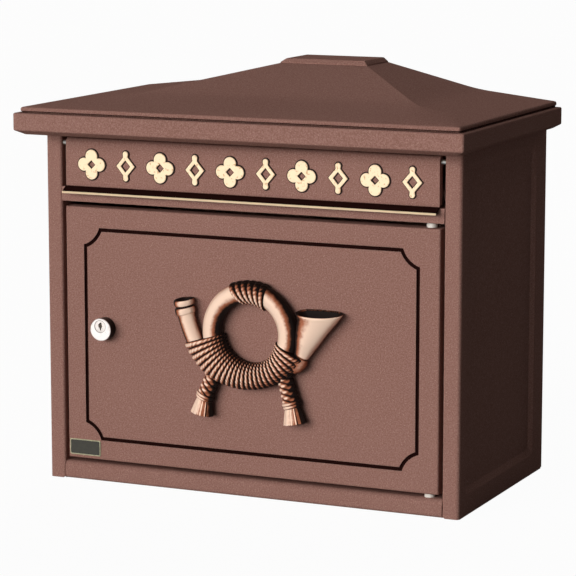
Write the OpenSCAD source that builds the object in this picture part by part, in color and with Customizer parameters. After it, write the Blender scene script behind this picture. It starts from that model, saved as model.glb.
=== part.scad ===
// Fence letter box: a folded sheet housing with a half-pagoda roof, a lift-up letter flap and a
// lockable front door that carries a cast post horn.
// X runs along the front, Y from the front towards the wall, Z up. The origin is the centre of
// the floor's rectangle, at the height of the surface that the box can stand on.

/* [Housing] */
// Overall width across the side walls
body_w = 370; // [330:1:420]
// Depth from the front face to the wall
body_d = 200; // [170:1:240]
// Thickness of the housing's sheet
sheet = 1.5; // [1.2:0.1:2]
// Outer radius of the folded front corners
fold_r = 3; // [3:0.5:6]
// Radius of the posts' inner edges
edge_r = 2.2; // [1.8:0.1:3]
// Width of the front posts that the side walls fold into
post_w = 14.5; // [14:0.5:24]
// Depth of the return behind each post
post_depth = 16; // [15:0.5:22]
// Width of the flanges at the top, foot and rear of the side walls
flange_w = 14; // [12:0.5:18]
// Thickness of the back plate
back_t = 2; // [1.5:0.1:3]

/* [Side field] */
// Depth that the side walls' field is pressed in
field_depth = 3; // [2:0.25:4]
// Width of the field's sloping edge
field_slope = 5; // [3:0.5:8]
// Margin from the front face to the field
field_front = 14; // [12:0.5:20]
// Margin from the rear edge to the field
field_rear = 24; // [20:0.5:30]
// Margin below the field
field_end = 17; // [15:0.5:24]
// Margin above the field
field_head = 11; // [10:0.5:24]

/* [Rails] */
// Height of the bottom rail
rail_h = 15.1; // [13:0.1:18]
// Depth of the rails' lips
rail_depth = 24; // [20:0.5:30]
// Radius along the top of the bottom rail
rail_r = 5; // [3:0.5:6]
// Height of the cross rail between flap and door
cross_h = 12; // [10:0.5:18]
// Depth of the letter sill on the cross rail
sill_depth = 44; // [36:0.5:50]

/* [Door] */
// Height of the door
door_h = 214; // [180:1:260]
// Gap between the door's sides and the posts
door_gap = 3.3; // [3.2:0.1:5]
// Gap under the door
foot_gap = 3.4; // [3:0.1:5]
// Gap above the door
head_gap = 4.4; // [3:0.1:6]
// Depth of the door pan
door_depth = 14; // [13:0.5:15]
// Edge radius of the door pan
door_r = 1.5; // [1:0.1:2.5]
// Inset of the pressed line from the door's edge
line_inset = 18.4; // [16:0.1:24]
// Width of the pressed line
line_w = 3; // [2:0.1:4]
// Depth of the pressed line
line_depth = 1.4; // [0.8:0.1:1.4]
// Length that a scalloped corner takes from each pressed line
scallop_r = 14; // [8:0.5:18]
// Distance of the scallop's centre outside the pressed lines
scallop_out = 8; // [0:0.5:10]
// Inset of the hinge pins from the door's edge
pin_inset = 9.8; // [9:0.1:10.5]
// Radius of the hinge pins
pin_r = 2; // [1.5:0.1:2.5]

/* [Flap] */
// Gap between the flap's ends and the posts
flap_gap = 4.2; // [3:0.1:12]
// Height from the flap's lower edge to its rod
flap_drop = 34.5; // [30:0.5:45]
// Thickness of the flap
flap_t = 2; // [1.6:0.1:2.5]
// Forward reach of the flap's lip
lip_reach = 7.8; // [5:0.1:12]
// Drop of the lip below the flap's lower edge
lip_drop = 6.6; // [5:0.1:9]
// Thickness of the lip's edge
lip_edge = 1.3; // [1:0.1:2.5]
// Radius of the flap's rod
rod_r = 2; // [1.5:0.1:2.5]

/* [Ornament row] */
// Number of raised ornaments on the flap
ornaments = 10; // [8:1:11]
// Distance from one ornament to the next
ornament_pitch = 31.7; // [28:0.1:33]
// Height of an ornament
ornament_h = 25; // [20:0.5:27]
// Height that the ornaments stand off the flap
ornament_lift = 1.8; // [1.2:0.1:2.4]

/* [Roof] */
// Overhang of the roof past each side wall
roof_side = 13; // [7:0.5:20]
// Overhang of the roof past the front
roof_front = 32.5; // [25:0.5:45]
// Height of the roof's rim
rim_h = 18; // [15:0.5:24]
// Height that the roof rises above its eave
roof_rise = 27.7; // [20:0.1:45]
// Width of the cap on the roof
cap_w = 81; // [60:1:110]
// Depth of the cap on the roof
cap_depth = 47; // [35:1:60]
// Height of the cap
cap_h = 4; // [3:0.25:6]
// Thickness of the roof's sheet
roof_t = 1.5; // [1.2:0.1:2]

/* [Post horn] */
// Radius of the horn's ring, at the middle of its tube
ring_r = 33.8; // [30:0.1:38]
// Radius of the ring's tube
tube_r = 8.1; // [7:0.1:9]
// Distance from the door's face to the middle of the tube
tube_lift = 7; // [6.5:0.1:8]
// Turns of the rope around the horn's lower half
rope_turns = 27; // [18:1:30]
// Turns of the rope at the top of the ring
top_turns = 7; // [4:1:9]

/* [Lock] */
// Radius of the lock's head
lock_r = 9.4; // [8.5:0.1:11]
// Height of the lock's head in front of the door
lock_head = 10; // [6:0.5:12]
// Radius of the lock's barrel
barrel_r = 8; // [7.6:0.1:8.3]
// Radius of the plug that the key turns
plug_r = 5; // [4:0.1:5]
// Distance of the plug's axis above the middle of the head
plug_rise = 2.8; // [2.5:0.1:3]
// Distance from the door's edge to the lock
lock_inset = 36.5; // [32:0.5:42]
// Length of the lock's cam from its axis
cam_reach = 45; // [44:0.5:50]

/* [Wall fixing] */
// Distance between the wall holes, sideways
wall_pitch_x = 300; // [200:1:300]
// Distance between the wall holes, upwards
wall_pitch_z = 200; // [120:1:220]
// Radius of the wall holes
wall_hole_r = 3.5; // [2.5:0.1:4.5]

/* [Hidden] */
eps = 0.01;
fit = 0.08;
loose = 0.3;

// Heights, from the ground up
rail_top = rail_h;
door_z0 = rail_top + foot_gap;
door_z1 = door_z0 + door_h;
cross_z0 = door_z1 + head_gap;
cross_z1 = cross_z0 + cross_h;
flap_z0 = cross_z1 + 2;
rod_z = flap_z0 + flap_drop;
curl_r = rod_r + fit + flap_t + 0.4;
body_h = rod_z + curl_r + 4;

// Places across the housing
hw = body_w / 2;
front = -body_d / 2;
back = body_d / 2;
side_back = back - back_t;
post_in = hw - post_w;
rod_y = front + curl_r;
flap_w = 2 * (post_in - flap_gap);

// Door
door_hw = post_in - door_gap;
pin_x = door_hw - pin_inset;
pin_y = front + 7.5;
door_mid = (door_z0 + door_z1) / 2;

// Fasteners
rivet_r = 2;
rivet_head_r = 3.6;
rivet_head_h = 1.4;
screw_r = 2;
screw_head_r = 3.8;
nut_r = 4.04;
nut_h = 3.2;
rivet_x = hw - 8;
back_rivet_z = [body_h * 0.14, body_h * 0.5, body_h * 0.86];
floor_rivet_y = [front + body_d * 0.28, front + body_d * 0.8];
roof_screw_x = hw - sheet - flange_w / 2 - 0.5;
roof_screw_y = [front + body_d * 0.2, front + body_d * 0.8];

// Lock
lock_x = -door_hw + lock_inset;
lock_z = door_mid + 6.3;
plug_z = lock_z + plug_rise;
cam_y = front + post_depth + 1.5;
cam_t = 2;
cam_w = 12;
lock_back = cam_y - 0.4;

// Horn
horn_x = 5.5;
horn_z = door_mid + 13.4;
stud_angles = [150, 30];
stud_r = 2;

// Roof
soffit_in = 29;
rim_chamfer = [7.4, 4];

brown = "#8a6459";
dark_brown = "#5a3d36";
gold = "#f0d3a8";
copper = "#b07850";
silver = "#d9d6d2";
zinc = "#b9b9b6";
nylon = "#f4f2ee";

// Common shapes

// A quarter of a bent sheet, with its centre at the origin, in the +X -Y quarter
module bend(r, t) {
    intersection() {
        difference() {
            circle(r = r, $fn = 48);
            circle(r = r - t, $fn = 48);
        }
        translate([0, -r]) square([r, r]);
    }
}

// A rod along Y, from y0 to y1
module rod_along_y(x, z, r, y0, y1, fn = 48) {
    translate([x, y0, z]) rotate([-90, 0, 0]) cylinder(r = r, h = y1 - y0, $fn = fn);
}

// A rod along X, from x0 to x1
module rod_along_x(y, z, r, x0, x1) {
    translate([x0, y, z]) rotate([0, 90, 0]) cylinder(r = r, h = x1 - x0, $fn = 48);
}

// A plate with rounded corners, in the YZ plane, that faces +X
module field_plate(y0, y1, z0, z1, r, x) {
    hull() for (y = [y0 + r, y1 - r], z = [z0 + r, z1 - r])
        translate([x, y, z]) rotate([0, 90, 0]) cylinder(r = r, h = eps, $fn = 24);
}

// A frustum between two rounded plates, from x0 inwards to x1
module field_block(x0, x1, grow) {
    y0 = front + field_front - grow;
    y1 = back - field_rear + grow;
    z0 = field_end - grow;
    z1 = body_h - field_head + grow;
    s = field_slope;
    hull() {
        field_plate(y0, y1, z0, z1, 6, x0);
        field_plate(y0 + s, y1 - s, z0 + s, z1 - s, 4, x1);
    }
}

// A row of points around a circle's arc
function arc(cx, cy, r, a0, a1, n) =
    [for (i = [0 : n]) [cx + r * cos(a0 + (a1 - a0) * i / n), cy + r * sin(a0 + (a1 - a0) * i / n)]];

// Housing

// The folded wall in plan, for the +X side
module side_plan() {
    translate([hw - sheet, front + fold_r]) square([sheet, side_back - front - fold_r]);
    translate([hw - fold_r, front + fold_r]) bend(fold_r, sheet);
    translate([post_in + edge_r, front]) square([post_w - edge_r - fold_r, sheet]);
    translate([post_in + edge_r, front + edge_r]) mirror([1, 0]) bend(edge_r, sheet);
    translate([post_in, front + edge_r]) square([sheet, post_depth - edge_r]);
    translate([hw - flange_w, side_back - sheet]) square([flange_w, sheet]);
}

// Flat flanges at the foot and the top of the +X side
module side_flanges() {
    y0 = front + post_depth + 1;
    y1 = side_back - sheet + eps;
    for (z = [sheet, body_h - sheet])
        translate([hw - sheet - flange_w, y0, z]) cube([flange_w + eps, y1 - y0, sheet]);
}

module side_wall() {
    difference() {
        union() {
            linear_extrude(height = body_h) side_plan();
            side_flanges();
            field_block(hw - sheet + eps, hw - sheet - field_depth, 0);
        }
        field_block(hw + eps, hw - field_depth, 0);
        // the post's foot is cut at a slant, clear of the bottom rail
        translate([post_in - 1, front - 1, -1]) rotate([0, 45, 0]) cube([3, post_depth + 2, 3], center = false);
        rod_along_x(rod_y, rod_z, rod_r + fit, post_in - 1, post_in + sheet + 1);
        for (z = back_rivet_z) rod_along_y(rivet_x, z, rivet_r + 0.02, side_back - 3, side_back + 1);
        for (y = floor_rivet_y)
            translate([rivet_x - sheet, y, sheet - 1]) cylinder(r = rivet_r + 0.02, h = 3, $fn = 32);
        for (y = roof_screw_y)
            translate([roof_screw_x, y, body_h - 3]) cylinder(r = screw_r + 0.2, h = 4, $fn = 32);
    }
}

module right_side() color(brown) side_wall();

module left_side() color(brown) mirror([1, 0, 0]) side_wall();

module back_panel() color(brown) {
    lower = 1;
    difference() {
        translate([-hw, side_back, lower]) cube([body_w, back_t, body_h - lower - loose]);
        for (x = [-1, 1] * wall_pitch_x / 2, z = [-1, 1] * wall_pitch_z / 2)
            rod_along_y(x, body_h / 2 + z, wall_hole_r, side_back - 1, back + 1);
        for (x = [-1, 1] * rivet_x, z = back_rivet_z)
            rod_along_y(x, z, rivet_r + 0.02, side_back - 1, back + 1);
    }
}

// The bottom rail's outline in section, shrunk by g, with Y along the first axis and Z along the second
module rail_block(g) {
    foot_r = 3;
    y1 = front + rail_depth - g;
    translate([front + rail_r, rail_h - rail_r]) circle(r = rail_r - g, $fn = 48);
    translate([front + foot_r, foot_r]) circle(r = foot_r - g, $fn = 48);
    translate([front + g, foot_r]) square([y1 - front - g, rail_h - rail_r - foot_r]);
    translate([front + rail_r, foot_r]) square([y1 - front - rail_r, rail_h - g - foot_r]);
    translate([front + foot_r, g]) square([y1 - front - foot_r, foot_r]);
}

module rail_section() {
    difference() {
        rail_block(0);
        rail_block(sheet);
        translate([front + rail_depth - sheet - eps, sheet]) square([2 * sheet, rail_h - 2 * sheet - 4.5]);
    }
    translate([front + rail_depth - 2, 0]) square([side_back - sheet - loose - front - rail_depth + 2, sheet]);
}

module floor_tray() color(brown) {
    wide = 2 * (hw - sheet - loose);
    difference() {
        rotate([90, 0, 90]) translate([0, 0, -wide / 2]) linear_extrude(height = wide) rail_section();
        // room for the posts, and for the side walls behind the rail
        for (s = [-1, 1]) {
            translate([s * (post_in + 50), front + (post_depth + 0.5) / 2 - 1, 10])
                cube([100, post_depth + 2.5, 40], center = true);
            translate([s * (post_in + 50), front + 30, sheet + 20]) cube([100, 70, 40], center = true);
        }
        for (s = [-1, 1], y = floor_rivet_y)
            translate([s * (rivet_x - sheet), y, -1]) cylinder(r = rivet_r + 0.02, h = 5, $fn = 32);
        translate([pin_x, pin_y, rail_top - 3]) cylinder(r = pin_r + 0.02, h = 5, $fn = 48);
    }
}

module cross_rail() color(brown) {
    t = sheet;
    difference() {
        translate([-post_in, front, cross_z0]) union() {
            cube([2 * post_in, t, cross_h]);
            cube([2 * post_in, rail_depth, t]);
            translate([0, 0, cross_h - t]) cube([2 * post_in, sill_depth, t]);
            translate([0, sill_depth - t, cross_h - 6]) cube([2 * post_in, t, 6]);
        }
        translate([pin_x, pin_y, cross_z0 - 1]) cylinder(r = pin_r + 0.02, h = 4, $fn = 48);
    }
}

// Roof

// One level of the roof: a rectangle with rounded front corners.
// side and front_in are the insets from the rim, z the height, r the corner radius, rear the back line
CORNER_STEPS = 5;
function level(side, front_in, z, r, rear) =
    let (x = hw + roof_side - side, y = front - roof_front + front_in)
    concat(
        [for (p = arc(-x + r, y + r, r, 180, 270, CORNER_STEPS)) [p[0], p[1], z]],
        [for (p = arc(x - r, y + r, r, 270, 360, CORNER_STEPS)) [p[0], p[1], z]],
        [[x, rear, z], [-x, rear, z]]
    );

eave = [6.8, body_h + rim_h + 4.9];
cap_side = hw + roof_side - cap_w / 2;
cap_front = body_d + roof_front - cap_depth;
// The slope is shallow at the eave and steeper near the cap, with a soft bend between
slope_break = 0.45;
slope_soft = 0.07;
steep_share = 0.72;
function bend_up(s) =
    s < slope_break - slope_soft ? 0
    : s > slope_break + slope_soft ? s - slope_break
    : pow(s - slope_break + slope_soft, 2) / (4 * slope_soft);
shallow = roof_rise * (1 - steep_share * (1 - slope_break));
function roof_z(s) = eave[1] + shallow * s + (roof_rise - shallow) * bend_up(s) / (1 - slope_break);
function hip_r(s) = s < 0.4 ? 1 + 26 * sin(180 * s / 0.4) : 0.8;
SLOPE_STEPS = [0, 0.08, 0.16, 0.24, 0.32, 0.38, 0.415, 0.45, 0.485, 0.52, 0.65, 0.8, 0.92, 1];

function slope_levels(drop, rear) =
    [for (s = SLOPE_STEPS)
        level(eave[0] + (cap_side - eave[0]) * s, eave[0] + (cap_front - eave[0]) * s,
            roof_z(s) - drop, hip_r(s), rear)];

rim_z = body_h + rim_h;
cap_z = roof_z(1);
roof_outer = concat(
    [
        level(soffit_in, roof_front + post_depth, body_h, 0.5, back - flange_w),
        level(rim_chamfer[0], rim_chamfer[0], body_h, 1, back),
        level(0.5, 0.5, body_h + rim_chamfer[1] - 0.4, 1.6, back),
        level(0, 0, body_h + rim_chamfer[1] + 0.4, 2, back),
        level(0, 0, rim_z - 0.8, 2, back),
        level(0.8, 0.8, rim_z, 1.5, back),
        level(5.6, 5.6, rim_z + 0.15, 1, back),
        level(5.6, 5.6, rim_z + 1, 1, back),
        level(4.6, 4.6, rim_z + 1.6, 1.6, back),
        level(4.6, 4.6, rim_z + 3.6, 1.6, back),
        level(5.3, 5.3, rim_z + 4.5, 1.3, back)
    ],
    slope_levels(0, back),
    [
        level(cap_side + 0.3, cap_front + 0.3, cap_z + 0.9, 0.6, back),
        level(cap_side + 3.8, cap_front + 3.8, cap_z + cap_h - 0.3, 0.6, back),
        level(cap_side + 4.6, cap_front + 4.6, cap_z + cap_h, 0.6, back)
    ]
);
inner_back = back - roof_t;
roof_inner = concat(
    [
        level(cap_side + 5.2, cap_front + 5.2, cap_z + cap_h - roof_t, 0.6, inner_back),
        level(cap_side + 2.2, cap_front + 2.2, cap_z - roof_t * 1.05 + 0.6, 0.6, inner_back)
    ],
    [for (i = [len(SLOPE_STEPS) - 1 : -1 : 0]) slope_levels(roof_t * 1.05, inner_back)[i]],
    [
        level(7.1, 7.1, rim_z - roof_t, 1, inner_back),
        level(roof_t, roof_t, rim_z - roof_t - 0.15, 1, inner_back),
        level(roof_t, roof_t, body_h + rim_chamfer[1] + 1.2, 1, inner_back),
        level(rim_chamfer[0] + 0.6, rim_chamfer[0] + 0.6, body_h + roof_t, 1, inner_back),
        level(soffit_in, roof_front + post_depth, body_h + roof_t, 0.5, back - flange_w)
    ]
);

module roof_shell() {
    levels = concat(roof_outer, roof_inner);
    n = len(levels[0]);
    m = len(levels);
    top = len(roof_outer) - 1;
    points = [for (l = levels) for (p = l) p];
    sides = [for (i = [0 : m - 1]) if (i != top) for (j = [0 : n - 1])
        let (k = (j + 1) % n, u = (i + 1) % m)
        each [[i * n + j, u * n + j, u * n + k], [i * n + j, u * n + k, i * n + k]]];
    lid = [for (j = [1 : n - 2]) [top * n, top * n + j + 1, top * n + j]];
    ceiling = [for (j = [1 : n - 2]) [(top + 1) * n, (top + 1) * n + j, (top + 1) * n + j + 1]];
    polyhedron(points = points, faces = concat(sides, lid, ceiling), convexity = 6);
}

module roof() color(dark_brown) difference() {
    roof_shell();
    for (s = [-1, 1], y = roof_screw_y)
        translate([s * roof_screw_x, y, body_h - 1]) cylinder(r = screw_r + 0.2, h = 4, $fn = 32);
}

module roof_screws() color(zinc) {
    for (s = [-1, 1], y = roof_screw_y) translate([s * roof_screw_x, y, body_h - sheet]) {
        translate([0, 0, -2.4]) cylinder(r = screw_head_r, h = 2.4, $fn = 48);
        translate([0, 0, -eps]) cylinder(r = screw_r, h = sheet + roof_t + nut_h + 2, $fn = 48);
    }
}

module nut(bore) {
    difference() {
        cylinder(r = nut_r, h = nut_h, $fn = 6);
        translate([0, 0, -1]) cylinder(r = bore, h = nut_h + 2, $fn = 48);
    }
}

module roof_nuts() color(zinc) {
    for (s = [-1, 1], y = roof_screw_y)
        translate([s * roof_screw_x, y, body_h + roof_t]) nut(screw_r + 0.02);
}

// A rivet with two heads that grips from 0 to grip along +Z
module rivet(grip) {
    translate([0, 0, -eps]) cylinder(r = rivet_r, h = grip + 2 * eps, $fn = 48);
    for (z = [0, grip]) translate([0, 0, z]) mirror([0, 0, z == 0 ? 1 : 0])
        cylinder(r1 = rivet_head_r, r2 = rivet_head_r * 0.55, h = rivet_head_h, $fn = 48);
}

module back_rivets() color(zinc) {
    for (x = [-1, 1] * rivet_x, z = back_rivet_z)
        translate([x, side_back - sheet, z]) rotate([-90, 0, 0]) intersection() {
            rivet(sheet + back_t);
            // the head on the wall side is set flush
            translate([-5, -5, -5]) cube([10, 10, 5 + sheet + back_t]);
        }
}

module floor_rivets() color(zinc) {
    for (s = [-1, 1], y = floor_rivet_y)
        translate([s * (rivet_x - sheet), y, 0]) intersection() {
            rivet(2 * sheet);
            // the head under the floor is set flush
            translate([-5, -5, 0]) cube([10, 10, 10]);
        }
}

// Flap

module flap_rod() color(zinc) rod_along_x(rod_y, rod_z, rod_r, -post_in - 6, post_in + 6);

module rod_clips() color(zinc) {
    for (s = [-1, 1]) translate([s * (post_in + sheet + 1), rod_y, rod_z]) rotate([0, 90, 0])
        difference() {
            cylinder(r = rod_r + 0.75, h = 1, center = true, $fn = 48);
            cylinder(r = rod_r + 0.02, h = 2, center = true, $fn = 48);
        }
}

// The flap in section, with Y along the first axis and Z along the second
module flap_section() {
    difference() {
        union() {
            translate([front, flap_z0]) square([flap_t, rod_z - flap_z0]);
            translate([rod_y, rod_z]) circle(r = curl_r, $fn = 64);
            polygon([
                [front, flap_z0 + 1], [front, flap_z0 - 0.6],
                [front - lip_reach, flap_z0 - lip_drop + lip_edge],
                [front - lip_reach, flap_z0 - lip_drop], [front - lip_reach + 1.6, flap_z0 - lip_drop],
                [front - 1, flap_z0 - 2], [front + flap_t, flap_z0 - 0.4], [front + flap_t, flap_z0 + 1]
            ]);
        }
        translate([rod_y, rod_z]) circle(r = rod_r + fit, $fn = 64);
    }
}

module flap() color(brown) {
    side_return = 6;
    rotate([90, 0, 90]) translate([0, 0, -flap_w / 2]) linear_extrude(height = flap_w) flap_section();
    for (s = [-1, 1]) translate([s * (flap_w / 2 - sheet / 2) - sheet / 2, front + flap_t - eps, flap_z0])
        cube([sheet, side_return - flap_t, flap_drop - curl_r]);
}

// Two raised motifs take turns along the flap: a pierced four-lobed rosette and a slim lozenge
module rosette(h, grow) {
    lobe = h * 0.22;
    difference() {
        union() {
            for (a = [0 : 90 : 270]) rotate(a) translate([0, h / 2 - lobe]) circle(r = lobe + grow, $fn = 40);
            circle(r = h * 0.27 + grow, $fn = 48);
        }
        rotate(45) square(max(h * 0.2 - 2 * grow, 0.6), center = true);
    }
}

module lozenge(h, grow) {
    ball = h * 0.1;
    w = h * 0.34;
    union() {
        difference() {
            polygon([[0, h / 2 - ball + grow], [w + grow, 0], [0, -h / 2 + ball - grow], [-w - grow, 0]]);
            polygon([[0, h * 0.2 - grow], [w * 0.5 - grow, 0], [0, -h * 0.2 + grow], [-w * 0.5 + grow, 0]]);
        }
        for (s = [-1, 1]) translate([0, s * (h / 2 - ball)]) circle(r = ball + grow, $fn = 32);
    }
}

module motif(i, grow) {
    if (i % 2 == 0) rosette(ornament_h, grow);
    else lozenge(ornament_h, grow);
}

module flap_ornaments() color(gold) {
    rim = 0.9;
    z = (flap_z0 + rod_z - curl_r) / 2 + 2.6;
    for (i = [0 : ornaments - 1])
        translate([(i - (ornaments - 1) / 2) * ornament_pitch + 1, front, z]) rotate([90, 0, 0]) {
            linear_extrude(height = ornament_lift * 0.45) motif(i, rim);
            linear_extrude(height = ornament_lift) motif(i, 0);
        }
}

// Door

// A box with rounded front edges, from x0 to x1 and z0 to z1, with its front at y0
module soft_box(x0, x1, z0, z1, y0, y1, r) {
    translate([x0 + r, y0, z0 + r]) cube([x1 - x0 - 2 * r, y1 - y0, z1 - z0 - 2 * r]);
    translate([x0, y0 + r, z0]) cube([x1 - x0, y1 - y0 - r, z1 - z0]);
    for (x = [x0 + r, x1 - r])
        translate([x, y0 + r, z0 + r]) cylinder(r = r, h = z1 - z0 - 2 * r, $fn = 32);
    for (z = [z0 + r, z1 - r]) rod_along_x(y0 + r, z, r, x0 + r, x1 - r);
    for (x = [x0 + r, x1 - r], z = [z0 + r, z1 - r])
        translate([x, y0 + r, z]) sphere(r = r, $fn = 32);
}

// The area inside the pressed line, grown outwards by grow
module line_area(grow) {
    w = door_hw - line_inset + grow;
    h = door_h / 2 - line_inset + grow;
    corner_x = door_hw - line_inset + scallop_out;
    corner_z = door_h / 2 - line_inset + scallop_out;
    r = norm([scallop_r + scallop_out, scallop_out]);
    difference() {
        square([2 * w, 2 * h], center = true);
        for (sx = [-1, 1], sz = [-1, 1])
            translate([sx * corner_x, sz * corner_z]) circle(r = r - grow, $fn = 96);
    }
}

module line_band(width) {
    difference() {
        line_area(width / 2);
        line_area(-width / 2);
    }
}

module door() color(brown) {
    t = sheet;
    ridge = line_w + 2.4;
    x = door_hw;
    difference() {
        union() {
            difference() {
                soft_box(-x, x, door_z0, door_z1, front, front + door_depth, door_r);
                translate([-x + t, front + t, door_z0 + t])
                    cube([2 * x - 2 * t, door_depth, door_h - 2 * t]);
            }
            translate([0, front + t + line_depth, door_mid]) rotate([90, 0, 0])
                linear_extrude(height = line_depth + eps) line_band(ridge);
        }
        translate([0, front + line_depth, door_mid]) rotate([90, 0, 0])
            linear_extrude(height = line_depth + 1) line_band(line_w);
        for (z = [door_z0 - 1, door_z1 - t - 1])
            translate([pin_x, pin_y, z]) cylinder(r = pin_r + fit, h = t + 2, $fn = 48);
        rod_along_y(lock_x, lock_z, barrel_r + 0.05, front - 1, front + 4);
        for (a = stud_angles)
            rod_along_y(horn_x + ring_r * cos(a), horn_z + ring_r * sin(a), stud_r + 0.1, front - 1, front + 4);
    }
}

// A pin with a head at its foot
module hinge_pin(length) {
    translate([0, 0, -1]) cylinder(r = pin_r, h = length + 1, $fn = 48);
    translate([0, 0, -1.5]) cylinder(r = pin_r + 1.4, h = 1.5, $fn = 48);
}

module hinge_pin_bottom() color(zinc)
    translate([pin_x, pin_y, rail_top - sheet]) hinge_pin(sheet + foot_gap + 8);

module hinge_pin_top() color(zinc)
    translate([pin_x, pin_y, cross_z0 + sheet]) mirror([0, 0, 1]) hinge_pin(sheet + head_gap + 8);

module washer(z, gap) {
    translate([pin_x, pin_y, z]) difference() {
        cylinder(r = 4.3, h = gap - loose, $fn = 48);
        translate([0, 0, -1]) cylinder(r = pin_r + 0.02, h = gap + 2, $fn = 48);
    }
}

module door_washer_bottom() color(nylon) washer(rail_top, foot_gap);

module door_washer_top() color(nylon) washer(door_z1 + loose, head_gap);

module blank_plate() color("#4a4036") {
    w = 29;
    h = 13.4;
    r = 1.5;
    translate([-door_hw + 1.6 + w / 2, front, door_z0 + 3 + h / 2]) rotate([90, 0, 0])
        linear_extrude(height = 0.8) difference() {
            square([w, h], center = true);
            for (sx = [-1, 1], sy = [-1, 1])
                translate([sx * w / 2, sy * h / 2]) difference() {
                    square(2 * r, center = true);
                    translate([-sx * r, -sy * r]) circle(r = r, $fn = 32);
                }
        }
}

// Post horn

// Skin over a list of rings with the same number of points, closed at both ends
module skin(rings) {
    n = len(rings[0]);
    m = len(rings);
    points = [for (r = rings) for (p = r) p];
    walls = [for (i = [0 : m - 2]) for (j = [0 : n - 1])
        let (k = (j + 1) % n)
        each [[i * n + j, (i + 1) * n + k, i * n + k], [i * n + j, (i + 1) * n + j, (i + 1) * n + k]]];
    start = [[for (j = [0 : n - 1]) j]];
    end = [[for (j = [n - 1 : -1 : 0]) (m - 1) * n + j]];
    polyhedron(points = points, faces = concat(walls, start, end), convexity = 8);
}

// A ring of an elliptical section at point p of the door's plane. dir is the path's direction in
// degrees, wide the half width in that plane and deep the half depth away from the door. The casting is
// all but flat at the back, seat away from the door
function seated(y, a, seat) = y > -seat ? -seat - 0.06 * abs(cos(a)) : y;
function section(p, dir, wide, deep, n, lift, seat = 0.1) =
    [for (j = [0 : n - 1]) let (a = 360 * j / n)
        [p[0] - sin(dir) * wide * cos(a), seated(-lift - deep * sin(a), a, seat),
            p[1] + cos(dir) * wide * cos(a)]];

// Bumps of a rope that winds around: 0 between two turns, 1 on top of a turn
function turn(t, turns) = abs(sin(180 * t * turns));

// Half width of the rope binding around the lower half of the horn, and the radius of its middle
function binding_in(a) = 24.2;
function binding_out(a) = 46 + 12.5 * pow(abs(a - 272) / 75, 2.4);

HORN_SIDES = 12;
BIND_FROM = 196.0;
BIND_TO = 345.7;
module binding() {
    steps = rope_turns * 3;
    skin([for (i = [0 : steps]) let (
            t = i / steps,
            a = BIND_FROM + (BIND_TO - BIND_FROM) * t,
            bump = 1.5 * turn(t, rope_turns),
            r0 = binding_in(a) - bump + 1,
            r1 = binding_out(a) + bump - 1,
            mid = (r0 + r1) / 2)
        section([mid * cos(a), mid * sin(a)], a + 90, (r1 - r0) / 2, tube_r + 1 + bump, HORN_SIDES, tube_lift)]);
}

module top_wrap() {
    steps = top_turns * 3;
    skin([for (i = [0 : steps]) let (
            t = i / steps,
            a = 117.3 - 54 * t,
            bump = 1.5 * turn(t, top_turns),
            r = tube_r + 1.2 + bump)
        section([ring_r * cos(a) * 0.98, ring_r * sin(a) * 0.98], a - 90 + 14, r, r, HORN_SIDES, tube_lift)]);
}

module ring_tube() {
    steps = 24;
    // from under one end of the binding over the top to the other end
    skin([for (i = [0 : steps]) let (a = -20 + 220 * i / steps)
        section([ring_r * cos(a), ring_r * sin(a)], a + 90, tube_r, tube_r, HORN_SIDES + 4, tube_lift, 0)]);
}

// Mouthpiece tube: from under the binding up to the left, with two collars and a rim
mouth_path = [[-36.6, -26.2], [-43.9, -17], [-48.0, -7], [-53.5, 3], [-57, 12.5], [-58.6, 16], [-58.9, 16.2],
    [-59.2, 18], [-59.3, 18.2], [-59.4, 19.6], [-59.5, 19.8], [-59.7, 21.8], [-59.8, 22], [-60, 24.4]];
mouth_r = [6.5, 6.2, 6.2, 6.8, 7.4, 7.6, 8.4, 8.4, 7.6, 7.6, 8.5, 8.8, 9, 9.2];
module mouthpiece() {
    m = len(mouth_path) - 1;
    difference() {
        skin([for (i = [0 : m]) let (
                q = mouth_path[min(i + 1, m)] - mouth_path[max(i - 1, 0)])
            section(mouth_path[i], atan2(q[1], q[0]), mouth_r[i], mouth_r[i], HORN_SIDES, tube_lift, 0.2)]);
        skin([section([-59.4, 20.5], 97, 2.5, 2.5, HORN_SIDES, tube_lift),
            section([-60.3, 26], 97, 8.2, 8.2, HORN_SIDES, tube_lift)]);
    }
}

// Bell: a flaring tube with a rolled lip and a hollow mouth
bell_path = [[36.2, -27.1], [41.8, -22], [45.3, -16.4], [49.0, -9], [52.5, -1], [56, 7], [58.6, 13], [60.6, 17.4],
    [61.3, 19.2]];
bell_r = [7, 7.6, 6.6, 7, 8.4, 11, 14.4, 18.8, 21.2];
bell_lean = [60, 50, 62, 66, 68, 72, 80, 88, 90];
module bell() {
    m = len(bell_path) - 1;
    difference() {
        union() {
            skin([for (i = [0 : m])
                section(bell_path[i], bell_lean[i], bell_r[i], min(bell_r[i], 7 + bell_r[i] * 0.28),
                    HORN_SIDES + 8, tube_lift, 0.45)]);
            skin([for (q = [[19, 20.6], [19.8, 21.6], [20.8, 21.4], [21.4, 20.6]])
                section([61.5, q[0]], 90, q[1], 12.6 + (q[1] - 20.6), HORN_SIDES + 8, tube_lift)]);
        }
        skin([section([58.5, 10], 84, 6, 5, HORN_SIDES + 8, tube_lift),
            section([60.6, 16.5], 88, 15.5, 9.6, HORN_SIDES + 8, tube_lift),
            section([61.6, 22], 90, 20.4, 12, HORN_SIDES + 8, tube_lift)]);
    }
}

module band_ball(p, k) translate(p) rotate([18 * k + 3, 15 * k + 2, 8]) sphere(r = 1.46 + 0.03 * k, $fn = 8);

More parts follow.
